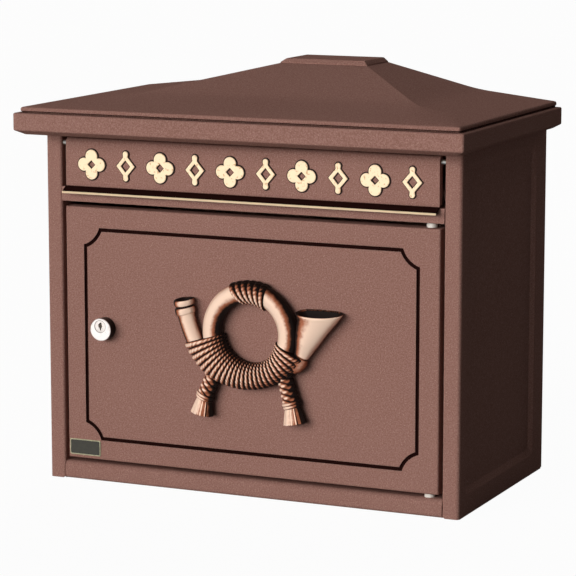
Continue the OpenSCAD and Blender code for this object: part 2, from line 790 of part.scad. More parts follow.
// A tassel from point a to point b: a cord, a knot of wound bands and a fluted skirt
module tassel(a, b, skirt) {
    d = b - a;
    dir = atan2(d[1], d[0]);
    side = [-sin(dir), cos(dir)];
    flutes = 9;
    skin([for (i = [0 : 12]) let (p = a + d * i / 11.1, r = 4.6 + i * 0.12 + 0.9 * turn(i / 12, 4) * (i % 2))
        section(p, dir, r + 0.6, r, 12, tube_lift - 0.5)]);
    // bands wound aslant around the cord
    for (k = [0 : 3]) let (p = a + d * (0.3 + 0.2 * k), lift = tube_lift + 3.7) hull() {
        band_ball([p[0] + side[0] * 5.4 - d[0] * 0.06, 1.6 - lift, p[1] + side[1] * 5.4 - d[1] * 0.06], k);
        band_ball([p[0], -1.1 - lift, p[1]], k + 0.37);
        band_ball([p[0] - side[0] * 5.4 + d[0] * 0.1, 1.6 - lift, p[1] - side[1] * 5.4 + d[1] * 0.1], k + 0.71);
    }
    skin([for (i = [0 : 6]) let (t = i / 6, p = b + skirt * t, r = 5.2 + 4.4 * pow(t, 0.7))
        [for (j = [0 : 4 * flutes - 1]) let (w = 360 * j / (4 * flutes), f = 1 + 0.07 * cos(w * flutes))
            [p[0] - sin(dir) * r * f * cos(w), seated(-tube_lift + 0.5 - r * 0.8 * f * sin(w), w, 0.3),
                p[1] + cos(dir) * r * f * cos(w)]]]);
}

module post_horn() color(copper) {
    translate([horn_x, front, horn_z]) difference() {
        union() {
            ring_tube();
            binding();
            top_wrap();
            mouthpiece();
            bell();
            tassel([-31.4, -33.3], [-44, -57.5], [-1.5, -14]);
            tassel([31.4, -31.3], [38.5, -58.5], [2.2, -14.5]);
        }
        for (a = stud_angles) translate([ring_r * cos(a), 0, ring_r * sin(a)])
            rotate([90, 0, 0]) cylinder(r = stud_r + 0.15, h = 7, center = true, $fn = 24);
    }
}

module horn_studs() color(zinc) {
    for (a = stud_angles)
        rod_along_y(horn_x + ring_r * cos(a), horn_z + ring_r * sin(a), stud_r, front - 3.4, front + sheet + nut_h + 2);
}

module horn_nuts() color(zinc) {
    for (a = stud_angles)
        translate([horn_x + ring_r * cos(a), front + sheet, horn_z + ring_r * sin(a)]) rotate([-90, 0, 0])
            nut(stud_r + 0.02);
}

// Lock

module lock_body() color(silver) {
    difference() {
        union() {
            rod_along_y(lock_x, lock_z, lock_r, front - lock_head + 0.6, front);
            translate([lock_x, front - lock_head + 0.6, lock_z]) rotate([90, 0, 0])
                cylinder(r1 = lock_r, r2 = lock_r - 0.6, h = 0.6, $fn = 64);
            rod_along_y(lock_x, lock_z, barrel_r, front - 1, lock_back);
        }
        rod_along_y(lock_x, plug_z, plug_r + 0.05, front - lock_head - 1, lock_back + 1);
        // index notch at the edge of the head
        translate([lock_x + lock_r * 0.42, front - lock_head - 1, lock_z - lock_r - 0.4])
            cube([1.2, 2, 1.6]);
    }
}

module lock_nut() color(zinc) {
    translate([lock_x, front + sheet, lock_z]) rotate([-90, 0, 0]) difference() {
        cylinder(r = barrel_r + 3.4, h = 3.5, $fn = 6);
        translate([0, 0, -1]) cylinder(r = barrel_r + 0.02, h = 6, $fn = 64);
    }
}

module lock_plug() color(silver) {
    difference() {
        union() {
            rod_along_y(lock_x, plug_z, plug_r, front - lock_head + 0.3, lock_back);
            // square end that carries the cam
            translate([lock_x - 2.5, lock_back - eps, plug_z - 2.5]) cube([5, cam_t + 0.4 + eps, 5]);
        }
        // keyway
        translate([lock_x, front - lock_head + 9, plug_z]) rotate([90, 0, 0]) linear_extrude(height = 10)
            polygon([[0.3, 3.6], [1.6, 2.4], [1.2, 1.4], [2, 0.6], [1.4, -0.6], [0.9, -1.2], [0.6, -3.2],
                [-0.2, -3.4], [-0.5, -1.4], [-1.6, -0.4], [-1.9, 1.4], [-0.9, 2.4]]);
        rod_along_y(lock_x, plug_z, 1.25, lock_back - 6, lock_back + 6, 32);
    }
}

module lock_cam() color(zinc) {
    translate([lock_x, lock_back + 0.4, plug_z]) rotate([-90, 0, 0]) difference() {
        union() {
            cylinder(r = cam_w / 2, h = cam_t, $fn = 48);
            translate([-cam_w / 2, 0, 0]) cube([cam_w, cam_reach - 3, cam_t]);
            translate([-cam_w / 2 + 3, cam_reach - 3 - eps, 0]) cube([cam_w - 6, 3, cam_t]);
            for (s = [-1, 1]) translate([s * (cam_w / 2 - 3), cam_reach - 3, 0])
                cylinder(r = 3, h = cam_t, $fn = 32);
        }
        translate([-2.52, -2.52, -1]) cube([5.04, 5.04, cam_t + 2]);
    }
}

module cam_screw() color(zinc) {
    translate([lock_x, lock_back + cam_t + 0.4, plug_z]) rotate([-90, 0, 0]) {
        difference() {
            cylinder(r = 4, h = 2, $fn = 48);
            translate([-5, -0.5, 1.2]) cube([10, 1, 2]);
        }
        translate([0, 0, -5]) cylinder(r = 1.24, h = 5 + eps, $fn = 32);
    }
}

left_side();
right_side();
back_panel();
floor_tray();
cross_rail();
roof();
roof_screws();
roof_nuts();
back_rivets();
floor_rivets();
flap_rod();
rod_clips();
hinge_pin_top();
hinge_pin_bottom();
door_washer_top();
door_washer_bottom();
flap();
flap_ornaments();
door();
post_horn();
horn_studs();
horn_nuts();
blank_plate();
lock_body();
lock_nut();
lock_plug();
lock_cam();
cam_screw();
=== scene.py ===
import math

import bmesh
import bpy
from bpy.props import FloatProperty, FloatVectorProperty, IntProperty, PointerProperty, StringProperty
from mathutils import Matrix, Vector


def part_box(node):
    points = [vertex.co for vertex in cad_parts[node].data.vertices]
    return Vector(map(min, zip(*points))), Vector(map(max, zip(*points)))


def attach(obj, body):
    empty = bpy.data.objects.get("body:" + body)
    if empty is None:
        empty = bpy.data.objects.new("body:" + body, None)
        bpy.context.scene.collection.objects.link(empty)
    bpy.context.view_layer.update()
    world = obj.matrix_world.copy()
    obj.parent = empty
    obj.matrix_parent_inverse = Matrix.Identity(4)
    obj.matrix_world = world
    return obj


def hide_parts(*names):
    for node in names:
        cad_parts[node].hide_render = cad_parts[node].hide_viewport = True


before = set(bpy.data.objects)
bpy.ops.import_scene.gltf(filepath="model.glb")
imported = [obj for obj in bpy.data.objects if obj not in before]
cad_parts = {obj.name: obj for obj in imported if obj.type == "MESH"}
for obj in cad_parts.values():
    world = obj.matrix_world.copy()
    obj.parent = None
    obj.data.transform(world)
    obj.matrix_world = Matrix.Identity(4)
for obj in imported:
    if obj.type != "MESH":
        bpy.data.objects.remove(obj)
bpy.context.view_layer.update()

bl_info = {
    "name": "Fence letter box",
    "version": (1, 0, 0),
    "blender": (4, 5, 0),
    "location": "3D View > Sidebar > Letter Box",
    "description": "Dresses a wall mounted letter box with powder coat, gilding and a rope-bound post horn",
    "category": "Object",
}

MM = 0.001
DOOR_LOW, DOOR_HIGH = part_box("door")
FLAP_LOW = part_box("flap")[0]
ORNAMENT_LOW, ORNAMENT_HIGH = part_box("flap_ornaments")
PLATE_LOW, PLATE_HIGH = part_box("blank_plate")
DOOR_FACE = DOOR_LOW[1] / MM


# Sizes and colours that a user would change

class LETTERBOX_PG_paint(bpy.types.PropertyGroup):
    """Colours of the paint and the plated parts"""

    coat: StringProperty(name="Powder coat", description="Copper-brown powder coat, as a hex value",
                         default="#AC857B")
    coat_dark: StringProperty(name="Coat, dark grain", description="Darker grain in the powder coat",
                              default="#90695F")
    coat_spark: StringProperty(name="Coat, metal flake", description="Pale flakes in the powder coat",
                               default="#E0BFB2")
    gilding: StringProperty(name="Gilding", description="Cream-gold paint on the ornaments and the lip",
                            default="#FBE3BF")
    gilding_worn: StringProperty(name="Gilding, worn", description="Thin places in the gilding",
                                 default="#D9B184")
    # painted shade: this colour is painted as shade in the coat's grooves and under its edges, in the door's
    # pressed line, on the slope below the ornaments and on the ornaments' foot
    painted_shade_coat: StringProperty(name="Ornament base", description="Dark paint at the foot of the ornaments",
                                default="#241210")
    copper: StringProperty(name="Rubbed copper", description="Rubbed highlights of the cast horn",
                           default="#FFDFC8")
    copper_mid: StringProperty(name="Antique copper", description="The horn's copper between high and low",
                               default="#B0694A")
    patina: StringProperty(name="Patina", description="Dark patina in the horn's hollows",
                           default="#120704")
    grain: FloatProperty(name="Coat grain", description="Distance between the grains of the powder coat",
                         default=0.0011, min=0.0004, max=0.004, unit="LENGTH")


class LETTERBOX_PG_horn(bpy.types.PropertyGroup):
    """Sizes of the cast post horn and its rope"""

    ring: FloatProperty(name="Ring radius", description="Radius of the ring at the middle of its tube",
                        default=0.0338, unit="LENGTH")
    tube: FloatProperty(name="Tube radius", description="Radius of the ring's tube",
                        default=0.0081, unit="LENGTH")
    lift: FloatProperty(name="Lift", description="Distance from the door to the middle of the tube",
                        default=0.007, unit="LENGTH")
    turns: IntProperty(name="Rope turns", description="Turns of rope around the lower half", default=25)
    top_turns: IntProperty(name="Top turns", description="Turns of rope at the top of the ring", default=6)
    strand: FloatProperty(name="Strand pitch", description="Distance from one strand of the rope to the next",
                          default=0.0036, unit="LENGTH")


class LETTERBOX_PG_ornaments(bpy.types.PropertyGroup):
    """The row of raised ornaments on the letter flap"""

    count: IntProperty(name="Ornaments", description="Number of ornaments in the row", default=10)
    pitch: FloatProperty(name="Pitch", description="Distance from one ornament to the next",
                         default=0.0317, unit="LENGTH")
    height: FloatProperty(name="Height", description="Height of one ornament", default=0.025, unit="LENGTH")
    lift: FloatProperty(name="Relief", description="Height of the ornaments above the flap",
                        default=0.0018, unit="LENGTH")


class LETTERBOX_PG_stage(bpy.types.PropertyGroup):
    """Camera"""

    azimuth: FloatProperty(name="Azimuth", description="Camera's turn around the box", default=24.33)
    pitch: FloatProperty(name="Pitch", description="Camera's tilt below the horizon", default=9.443)
    place: FloatVectorProperty(name="Camera", description="Place of the camera", subtype="TRANSLATION",
                               default=(0.9246, -2.0650, 0.5357))
    focal_px: FloatProperty(name="Focal length", description="Focal length in pixels of the 576 px picture",
                            default=2711.4)


# Colours and nodes

# A Mix node has sockets for every kind of data, so those of its colours are told by their places
FACTOR, UNDER, OVER, MIXED = 0, 6, 7, 2
COLOURS = {"data_type": "RGBA"}
# A Map Range node that gives 0 at From Min, 1 at From Max, and a smooth step between
STEP = {"interpolation_type": "SMOOTHSTEP"}

# Distances in metres at which the paint changes
# how far the AO looks for grooves and edges that get painted shade
PAINTED_SHADE_REACH = 0.006
LINE_INSET, LINE_INSET_FULL = 0.004, 0.0045
LINE_DEPTH = 0.00025
LIP_LOW, LIP_HIGH = 0.0004, 0.0009
SLOPE_LOW, SLOPE_HIGH = 0.0003, 0.0008
GILDED_LOW, GILDED_HIGH = 0.00045, 0.00085
LOCK_FACE_DEPTH, LOCK_FADE = 0.0008, 0.0005


def paint(hex_value):
    """An sRGB hex value as linear colour."""
    parts = [int(hex_value[i:i + 2], 16) / 255 for i in (1, 3, 5)]
    return tuple(c / 12.92 if c <= 0.04045 else ((c + 0.055) / 1.055) ** 2.4 for c in parts) + (1.0,)


def add(tree, kind, inputs=(), **settings):
    """Adds a node, sets its properties and fills or links its inputs."""
    node = tree.nodes.new(kind)
    for key, value in settings.items():
        setattr(node, key, value)
    for key, value in dict(inputs).items():
        socket = node.inputs[key]
        if isinstance(value, bpy.types.NodeSocket):
            tree.links.new(value, socket)
        else:
            socket.default_value = value
    return node


def new_material(name):
    material = bpy.data.materials.get(name) or bpy.data.materials.new(name)
    material.use_nodes = True
    tree = material.node_tree
    tree.nodes.clear()
    shader = add(tree, "ShaderNodeBsdfPrincipled")
    out = add(tree, "ShaderNodeOutputMaterial", {"Surface": shader.outputs["BSDF"]})
    out.location = (400, 0)
    return material, tree, shader


def powder_coat(name, coat, dark, spark, grain, gilded_lip_with_painted_shade=False, line=None):
    """Polyester powder coat on steel: sprayed and baked, so it has a fine, even orange-peel grain with pale
    flakes and slightly soft edges, and a matt face. Painted shade darkens it in grooves and under edges. line
    is the low and high corner of a panel with a pressed line, and the line's depth in metres; the line is
    painted dark as shade. gilded_lip_with_painted_shade adds painted shade on the slope below the ornaments
    and gilding on the face of the lip."""
    material, tree, shader = new_material(name)
    where = add(tree, "ShaderNodeTexCoord").outputs["Object"]
    # the real grain is about 0.3 mm, which is under a pixel here, so it is drawn at about 1 mm
    fine = add(tree, "ShaderNodeTexNoise", {"Vector": where, "Scale": 1 / grain, "Detail": 2.0,
                                            "Roughness": 0.6}).outputs["Fac"]
    flake = add(tree, "ShaderNodeTexVoronoi", {"Vector": where, "Scale": 0.7 / grain}).outputs["Distance"]
    # uneven spraying, in clouds of about 110 mm
    cloud = add(tree, "ShaderNodeTexNoise", {"Vector": where, "Scale": 9.0, "Detail": 2.0}).outputs["Fac"]
    light = add(tree, "ShaderNodeMapRange", {"Value": fine, "From Min": 0.35, "From Max": 0.7}, **STEP)
    base = add(tree, "ShaderNodeMix", {FACTOR: light.outputs["Result"], UNDER: paint(dark),
                                       OVER: paint(coat)}, **COLOURS).outputs[MIXED]
    thick = add(tree, "ShaderNodeMath", {0: cloud, 1: 0.35}, operation="MULTIPLY")
    base = add(tree, "ShaderNodeMix", {FACTOR: thick.outputs[0], UNDER: base, OVER: paint(coat)},
               **COLOURS).outputs[MIXED]
    spot = add(tree, "ShaderNodeMapRange", {"Value": flake, "From Min": 0.22, "From Max": 0.08,
                                            "To Max": 0.55})
    base = add(tree, "ShaderNodeMix", {FACTOR: spot.outputs["Result"], UNDER: base, OVER: paint(spark)},
               **COLOURS).outputs[MIXED]
    # painted shade: the paint is darkened in grooves and under edges, as far as the AO reaches
    hollow = add(tree, "ShaderNodeAmbientOcclusion", {"Distance": PAINTED_SHADE_REACH}, samples=6, only_local=True)
    unshaded = add(tree, "ShaderNodeMapRange", {"Value": hollow.outputs["AO"], "From Min": 0.25,
                                             "From Max": 0.85}, **STEP)
    base = add(tree, "ShaderNodeMix", {FACTOR: unshaded.outputs["Result"], UNDER: paint(PAINT.painted_shade_coat),
                                       OVER: base}, **COLOURS).outputs[MIXED]
    apart = add(tree, "ShaderNodeSeparateXYZ", {"Vector": where})
    if line:
        # painted shade in the pressed line of the door: everything below its face, within its edges, is
        # painted dark
        low, high, deep = line
        line_shade = add(tree, "ShaderNodeMapRange", {"Value": apart.outputs["Y"], "From Min": low[1] + deep,
                                                  "From Max": low[1] + 2 * deep}, **STEP).outputs["Result"]
        for axis, a, b in (("X", low[0], high[0]), ("Z", low[2], high[2])):
            for edge, sign in ((a, 1), (b, -1)):
                part = add(tree, "ShaderNodeMapRange", {"Value": apart.outputs[axis],
                                                        "From Min": edge + sign * LINE_INSET,
                                                        "From Max": edge + sign * LINE_INSET_FULL}, **STEP)
                line_shade = add(tree, "ShaderNodeMath", {0: line_shade, 1: part.outputs["Result"]},
                             operation="MULTIPLY").outputs[0]
        base = add(tree, "ShaderNodeMix", {FACTOR: line_shade, UNDER: base, OVER: paint(PAINT.painted_shade_coat)},
                   **COLOURS).outputs[MIXED]
    if gilded_lip_with_painted_shade:
        # painted shade on the slope below the ornaments, and gilding on the face of the lip
        for face, near, far, colour in ((ORNAMENT_HIGH[1], -SLOPE_LOW, -SLOPE_HIGH, PAINT.painted_shade_coat),
                                        (FLAP_LOW[1], LIP_HIGH, LIP_LOW, PAINT.gilding)):
            band = add(tree, "ShaderNodeMapRange", {"Value": apart.outputs["Y"], "From Min": face + near,
                                                    "From Max": face + far}, **STEP)
            base = add(tree, "ShaderNodeMix", {FACTOR: band.outputs["Result"], UNDER: base,
                                               OVER: paint(colour)}, **COLOURS).outputs[MIXED]
    tree.links.new(base, shader.inputs["Base Color"])
    rough = add(tree, "ShaderNodeMapRange", {"Value": fine, "To Min": 0.42, "To Max": 0.52})
    tree.links.new(rough.outputs["Result"], shader.inputs["Roughness"])
    shader.inputs["IOR"].default_value = 1.45
    # no sheen: at the low angles of the roof it would mirror the white world
    shader.inputs["Specular IOR Level"].default_value = 0.0
    edge = add(tree, "ShaderNodeBevel", {"Radius": 0.0007}, samples=4)
    bump = add(tree, "ShaderNodeBump", {"Height": fine, "Strength": 0.14, "Distance": 0.0004,
                                        "Normal": edge.outputs["Normal"]})
    tree.links.new(bump.outputs["Normal"], shader.inputs["Normal"])
    return material


def gilding(name):
    """Cream-gold enamel brushed on the faces of raised ornaments: silky and a little thin in places. Where
    the sides drop to the painted ground they are coloured as painted shade."""
    material, tree, shader = new_material(name)
    where = add(tree, "ShaderNodeTexCoord").outputs["Object"]
    apart = add(tree, "ShaderNodeSeparateXYZ", {"Vector": where})
    top = ORNAMENT_LOW[1]
    on_top = add(tree, "ShaderNodeMapRange", {"Value": apart.outputs["Y"], "From Min": top + GILDED_HIGH,
                                              "From Max": top + GILDED_LOW}, **STEP)
    # marks of the brush, about 2.4 mm apart
    brushed = add(tree, "ShaderNodeTexNoise", {"Vector": where, "Scale": 420.0, "Detail": 3.0}).outputs["Fac"]
    thin = add(tree, "ShaderNodeMapRange", {"Value": brushed, "From Min": 0.42, "From Max": 0.30}, **STEP)
    face = add(tree, "ShaderNodeMix", {FACTOR: thin.outputs["Result"], UNDER: paint(PAINT.gilding),
                                       OVER: paint(PAINT.gilding_worn)}, **COLOURS)
    # painted shade on the sides and the foot below the gilded face
    base = add(tree, "ShaderNodeMix", {FACTOR: on_top.outputs["Result"], UNDER: paint(PAINT.painted_shade_coat),
                                       OVER: face.outputs[MIXED]}, **COLOURS)
    tree.links.new(base.outputs[MIXED], shader.inputs["Base Color"])
    shader.inputs["Metallic"].default_value = 0.65
    rough = add(tree, "ShaderNodeMapRange", {"Value": brushed, "To Min": 0.30, "To Max": 0.45})
    tree.links.new(rough.outputs["Result"], shader.inputs["Roughness"])
    bump = add(tree, "ShaderNodeBump", {"Height": brushed, "Strength": 0.15, "Distance": 0.0003})
    tree.links.new(bump.outputs["Normal"], shader.inputs["Normal"])
    return material


def antique_copper(name):
    """Copper-plated zinc casting, blackened and then worn back with a cloth, with patina nearly black in the
    hollows. Over this lies a painted highlight and shade: bright on the side of each part that faces its
    stored direction, brown between, nearly black towards the door."""
    material, tree, shader = new_material(name)
    # the stored attribute holds the painted highlight and shade of each point, with the patina of its grooves
    rub_and_light = add(tree, "ShaderNodeAttribute", attribute_name="rub_and_light").outputs["Fac"]
    where = add(tree, "ShaderNodeTexCoord").outputs["Object"]
    # the cloth's uneven marks, about 3 mm apart
    cloth = add(tree, "ShaderNodeTexNoise", {"Vector": where, "Scale": 300.0, "Detail": 4.0}).outputs["Fac"]
    uneven = add(tree, "ShaderNodeMath", {0: cloth, 1: 0.5}, operation="SUBTRACT").outputs[0]
    uneven = add(tree, "ShaderNodeMath", {0: uneven, 1: 0.35}, operation="MULTIPLY").outputs[0]
    level = add(tree, "ShaderNodeMath", {0: rub_and_light, 1: uneven}, operation="ADD").outputs[0]
    base = paint(PAINT.patina)
    for start, end, colour in ((0.12, 0.5, PAINT.copper_mid), (0.44, 0.8, PAINT.copper)):
        reached = add(tree, "ShaderNodeMapRange", {"Value": level, "From Min": start, "From Max": end},
                      **STEP)
        base = add(tree, "ShaderNodeMix", {FACTOR: reached.outputs["Result"], UNDER: base,
                                           OVER: paint(colour)}, **COLOURS).outputs[MIXED]
    tree.links.new(base, shader.inputs["Base Color"])
    shader.inputs["Metallic"].default_value = 0.3
    shader.inputs["Specular IOR Level"].default_value = 0.15
    rough = add(tree, "ShaderNodeMapRange", {"Value": level, "To Min": 0.55, "To Max": 0.33})
    tree.links.new(rough.outputs["Result"], shader.inputs["Roughness"])
    bump = add(tree, "ShaderNodeBump", {"Height": cloth, "Strength": 0.12, "Distance": 0.0003})
    tree.links.new(bump.outputs["Normal"], shader.inputs["Normal"])
    return material


def bright_nickel(name, colour="#F2ECE8", roughness=0.22, painted_shade_from=None, gap=None):
    """Nickel-plated die casting, polished on a wheel: fine marks and small dulled spots. Behind
    painted_shade_from, in metres along Y, the side of the head is painted dark as shade. gap is the X, Z and
    radius of the dark gap around the plug: its real 0.1 mm wouldn't show, so it is drawn at about 0.5 mm."""
    material, tree, shader = new_material(name)
    where = add(tree, "ShaderNodeTexCoord").outputs["Object"]
    # wheel marks about 1 mm apart, and dulled spots of about 6 mm
    marks = add(tree, "ShaderNodeTexNoise", {"Vector": where, "Scale": 900.0, "Detail": 3.0}).outputs["Fac"]
    dull = add(tree, "ShaderNodeTexNoise", {"Vector": where, "Scale": 160.0, "Detail": 2.0}).outputs["Fac"]
    spots = add(tree, "ShaderNodeMapRange", {"Value": dull, "From Min": 0.45, "From Max": 0.75}, **STEP)
    base = add(tree, "ShaderNodeMix", {FACTOR: spots.outputs["Result"], UNDER: paint(colour),
                                       OVER: paint("#C8C2BC")}, **COLOURS).outputs[MIXED]
    # painted shade: behind the face, the side of the head is painted dark
    if painted_shade_from is not None:
        apart = add(tree, "ShaderNodeSeparateXYZ", {"Vector": where})
        side = add(tree, "ShaderNodeMapRange", {"Value": apart.outputs["Y"], "From Min": painted_shade_from,
                                                "From Max": painted_shade_from + LOCK_FADE}, **STEP)
        base = add(tree, "ShaderNodeMix", {FACTOR: side.outputs["Result"], UNDER: base,
                                           OVER: paint("#1A1411")}, **COLOURS).outputs[MIXED]
    if gap is not None:
        x, z, r = gap
        flat = add(tree, "ShaderNodeVectorMath", {0: where, 1: (1.0, 0.0, 1.0)}, operation="MULTIPLY")
        off = add(tree, "ShaderNodeVectorMath", {0: flat.outputs["Vector"], 1: (x, 0.0, z)},
                  operation="DISTANCE").outputs["Value"]
        away = add(tree, "ShaderNodeMath", {0: off, 1: r}, operation="SUBTRACT").outputs[0]
        away = add(tree, "ShaderNodeMath", {0: away}, operation="ABSOLUTE").outputs[0]
        ring = add(tree, "ShaderNodeMapRange", {"Value": away, "From Min": 0.0004, "From Max": 0.0001},
                   **STEP)
        base = add(tree, "ShaderNodeMix", {FACTOR: ring.outputs["Result"], UNDER: base,
                                           OVER: paint("#3A3430")}, **COLOURS).outputs[MIXED]
    tree.links.new(base, shader.inputs["Base Color"])
    shader.inputs["Metallic"].default_value = 1.0
    rough = add(tree, "ShaderNodeMapRange", {"Value": dull, "To Min": roughness, "To Max": roughness + 0.18})
    tree.links.new(rough.outputs["Result"], shader.inputs["Roughness"])
    edge = add(tree, "ShaderNodeBevel", {"Radius": 0.0004}, samples=4)
    bump = add(tree, "ShaderNodeBump", {"Height": marks, "Strength": 0.08, "Distance": 0.0002,
                                        "Normal": edge.outputs["Normal"]})
    tree.links.new(bump.outputs["Normal"], shader.inputs["Normal"])
    return material


def zinc_plate(name):
    """Zinc-plated steel fasteners: a dull grey with a faint straw passivation in patches of about 4 mm."""
    material, tree, shader = new_material(name)
    where = add(tree, "ShaderNodeTexCoord").outputs["Object"]
    patch = add(tree, "ShaderNodeTexNoise", {"Vector": where, "Scale": 260.0, "Detail": 3.0}).outputs["Fac"]
    straw = add(tree, "ShaderNodeMapRange", {"Value": patch, "From Min": 0.4, "From Max": 0.65}, **STEP)
    base = add(tree, "ShaderNodeMix", {FACTOR: straw.outputs["Result"], UNDER: paint("#B4B5B3"),
                                       OVER: paint("#A59E88")}, **COLOURS)
    tree.links.new(base.outputs[MIXED], shader.inputs["Base Color"])
    shader.inputs["Metallic"].default_value = 0.9
    rough = add(tree, "ShaderNodeMapRange", {"Value": patch, "To Min": 0.34, "To Max": 0.5})
    tree.links.new(rough.outputs["Result"], shader.inputs["Roughness"])
    return material


def nylon(name):
    """Moulded natural nylon: milky white, slightly waxy, with flow marks of about 2 mm."""
    material, tree, shader = new_material(name)
    where = add(tree, "ShaderNodeTexCoord").outputs["Object"]
    flow = add(tree, "ShaderNodeTexNoise", {"Vector": where, "Scale": 500.0}).outputs["Fac"]
    marks = add(tree, "ShaderNodeMapRange", {"Value": flow, "From Min": 0.3, "From Max": 0.7}, **STEP)
    base = add(tree, "ShaderNodeMix", {FACTOR: marks.outputs["Result"], UNDER: paint("#F4F2EC"),
                                       OVER: paint("#E6E2D8")}, **COLOURS)
    tree.links.new(base.outputs[MIXED], shader.inputs["Base Color"])
    shader.inputs["Roughness"].default_value = 0.4
    shader.inputs["IOR"].default_value = 1.53
    return material


def plate_enamel(name, colour):
    """Enamelled brass plate: smooth stoved enamel with a faint cloudiness of about 3 mm."""
    material, tree, shader = new_material(name)
    where = add(tree, "ShaderNodeTexCoord").outputs["Object"]
    cloud = add(tree, "ShaderNodeTexNoise", {"Vector": where, "Scale": 350.0, "Detail": 3.0}).outputs["Fac"]
    clear = add(tree, "ShaderNodeMapRange", {"Value": cloud, "From Min": 0.35, "From Max": 0.65}, **STEP)
    dark = tuple(c * 0.72 for c in paint(colour)[:3]) + (1.0,)
    base = add(tree, "ShaderNodeMix", {FACTOR: clear.outputs["Result"], UNDER: dark, OVER: paint(colour)},
               **COLOURS)
    tree.links.new(base.outputs[MIXED], shader.inputs["Base Color"])
    shader.inputs["Roughness"].default_value = 0.35
    shader.inputs["IOR"].default_value = 1.5
    return material


# Mesh making

def dress(node, material):
    """Gives a CAD node one material in each of its slots."""
    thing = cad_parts[node]
    if not thing.material_slots:
        thing.data.materials.append(material)
    for place in thing.material_slots:
        place.material = material


def piece_from(name, points, faces, material, smooth=True):
    mesh = bpy.data.meshes.new(name)
    mesh.from_pydata([tuple(p) for p in points], [], faces)
    mesh.validate()
    for polygon in mesh.polygons:
        polygon.use_smooth = smooth
    mesh.materials.append(material)
    thing = bpy.data.objects.new(name, mesh)
    bpy.context.scene.collection.objects.link(thing)
    return thing


def between(table, at):
    """The value of a table of (place, value) pairs at a place, on a straight line between the two nearest."""
    if at <= table[0][0]:
        return table[0][1]
    for (a, va), (b, vb) in zip(table, table[1:]):
        if at <= b:
            t = (at - a) / (b - a)
            return va + (vb - va) * t
    return table[-1][1]


def spline(points, t):
    """A point of the smooth curve through points, with t from 0 to 1."""
    n = len(points) - 1
    s = min(max(t * n, 0), n - 1e-6)
    i = int(s)
    u = s - i
    p = [points[min(max(i + k, 0), n)] for k in (-1, 0, 1, 2)]
    return tuple(
        0.5 * (2 * b + (c - a) * u + (2 * a - 5 * b + 4 * c - d) * u * u + (3 * b - a - 3 * c + d) * u ** 3)
        for a, b, c, d in zip(*p)
    )


class Casting:
    """Collects closed skins of one casting, in millimetres from the ring's centre on the door's face. Each
    point also holds how deep it lies in a groove, 0 in its bottom and 1 on its top, and the direction from
    which its part is painted with highlight and shade."""

    def __init__(self):
        self.points = []
        self.faces = []
        self.open = []
        self.way = []

    def skin(self, rings, grooves, way):
        sides = len(rings[0])
        first = len(self.points)
        for ring, groove in zip(rings, grooves):
            self.points += ring
            self.open += groove
            self.way += [way] * len(ring)
        for i in range(len(rings) - 1):
            for j in range(sides):
                k = (j + 1) % sides
                a, b = first + i * sides, first + (i + 1) * sides
                self.faces.append((a + j, a + k, b + k, b + j))
        self.faces.append(tuple(first + j for j in range(sides))[::-1])
        last = first + (len(rings) - 1) * sides
        self.faces.append(tuple(last + j for j in range(sides)))


def seated(y, seat):
    """Keeps a point of the casting in front of the door."""
    return min(y, -seat)


def ring_of(centre, wide_way, wide, deep, lift, sides, bulge=None, power=1.0, tilt=0.0, seat=0.1):
    """A ring of an elliptical section. wide_way is the direction of its width in the door's plane, in
    degrees, and bulge(turn) gives how far a point stands out."""
    ring, groove = [], []
    cx, cz = centre
    wx, wz = math.cos(math.radians(wide_way)), math.sin(math.radians(wide_way))
    for j in range(sides):
        a = 2 * math.pi * j / sides
        c, s = math.cos(a), math.sin(a)
        u = math.copysign(abs(c) ** power, c) * wide
        v = math.copysign(abs(s) ** power, s) * deep
        out, open_ = bulge(a) if bulge else (0.0, 1.0)
        nu, nv = c / max(wide, 0.1), s / max(deep, 0.1)
        size = math.hypot(nu, nv)
        u += nu / size * out
        v += nv / size * out
        y = seated(-lift - v, seat)
        ring.append((cx + wx * u, y, cz + wz * u + tilt * (-v)))
        groove.append(open_)
    return ring, groove


def rope_bulge(across, height, strand, phase, perimeter_mm):
    """Bulge of a wound rope. across runs from -0.5 to 0.5 over one turn."""
    crown = math.sqrt(max(0.0, 1 - (2 * across) ** 2 * 0.97))

    def bulge(a):
        along = a / (2 * math.pi) * perimeter_mm
        lay = math.sin(2 * math.pi * (along / strand + across * 1.1) + phase)
        out = height * (crown - 1) + 0.36 * lay * crown
        open_ = max(0.0, min(1.0, (crown * 1.5 - 0.5))) * (0.84 + 0.16 * lay)
        return out, open_

    return bulge


def paint_rub_and_light(thing, casting):
    """Stores the painted highlight and shade of each point over the wear of a cloth: most on the side of a
    part that faces its stored direction, nearly none towards the door, and none in a groove, where the patina
    stays."""
    mesh = thing.data
    rub_and_light = mesh.attributes.new("rub_and_light", "FLOAT", "POINT")
    for vertex, groove, way in zip(mesh.vertices, casting.open, casting.way):
        facing = vertex.normal.dot(Vector(way).normalized())
        t = max(0.0, min(1.0, (facing - 0.12) / 0.86))
        rub_and_light.data[vertex.index].value = (0.04 + 0.96 * t) * groove


# The stage

PICTURE_PX = 576
SENSOR_MM = 36.0
# Soft boxes as lobes of light: direction, angle of full light, angle where it ends, strength, and whether it
# fades below the horizon, as where a table top hides it
SOFT_BOXES = (
    ((-0.34, -0.94, 0.02), 14, 38, 6.4, True),
    ((-0.12, 0.90, 0.42), 8, 34, 1.9, True),
    ((0.70, -0.64, -0.26), 12, 34, 0.2, False),
)
ROOM_LIGHT = 0.034


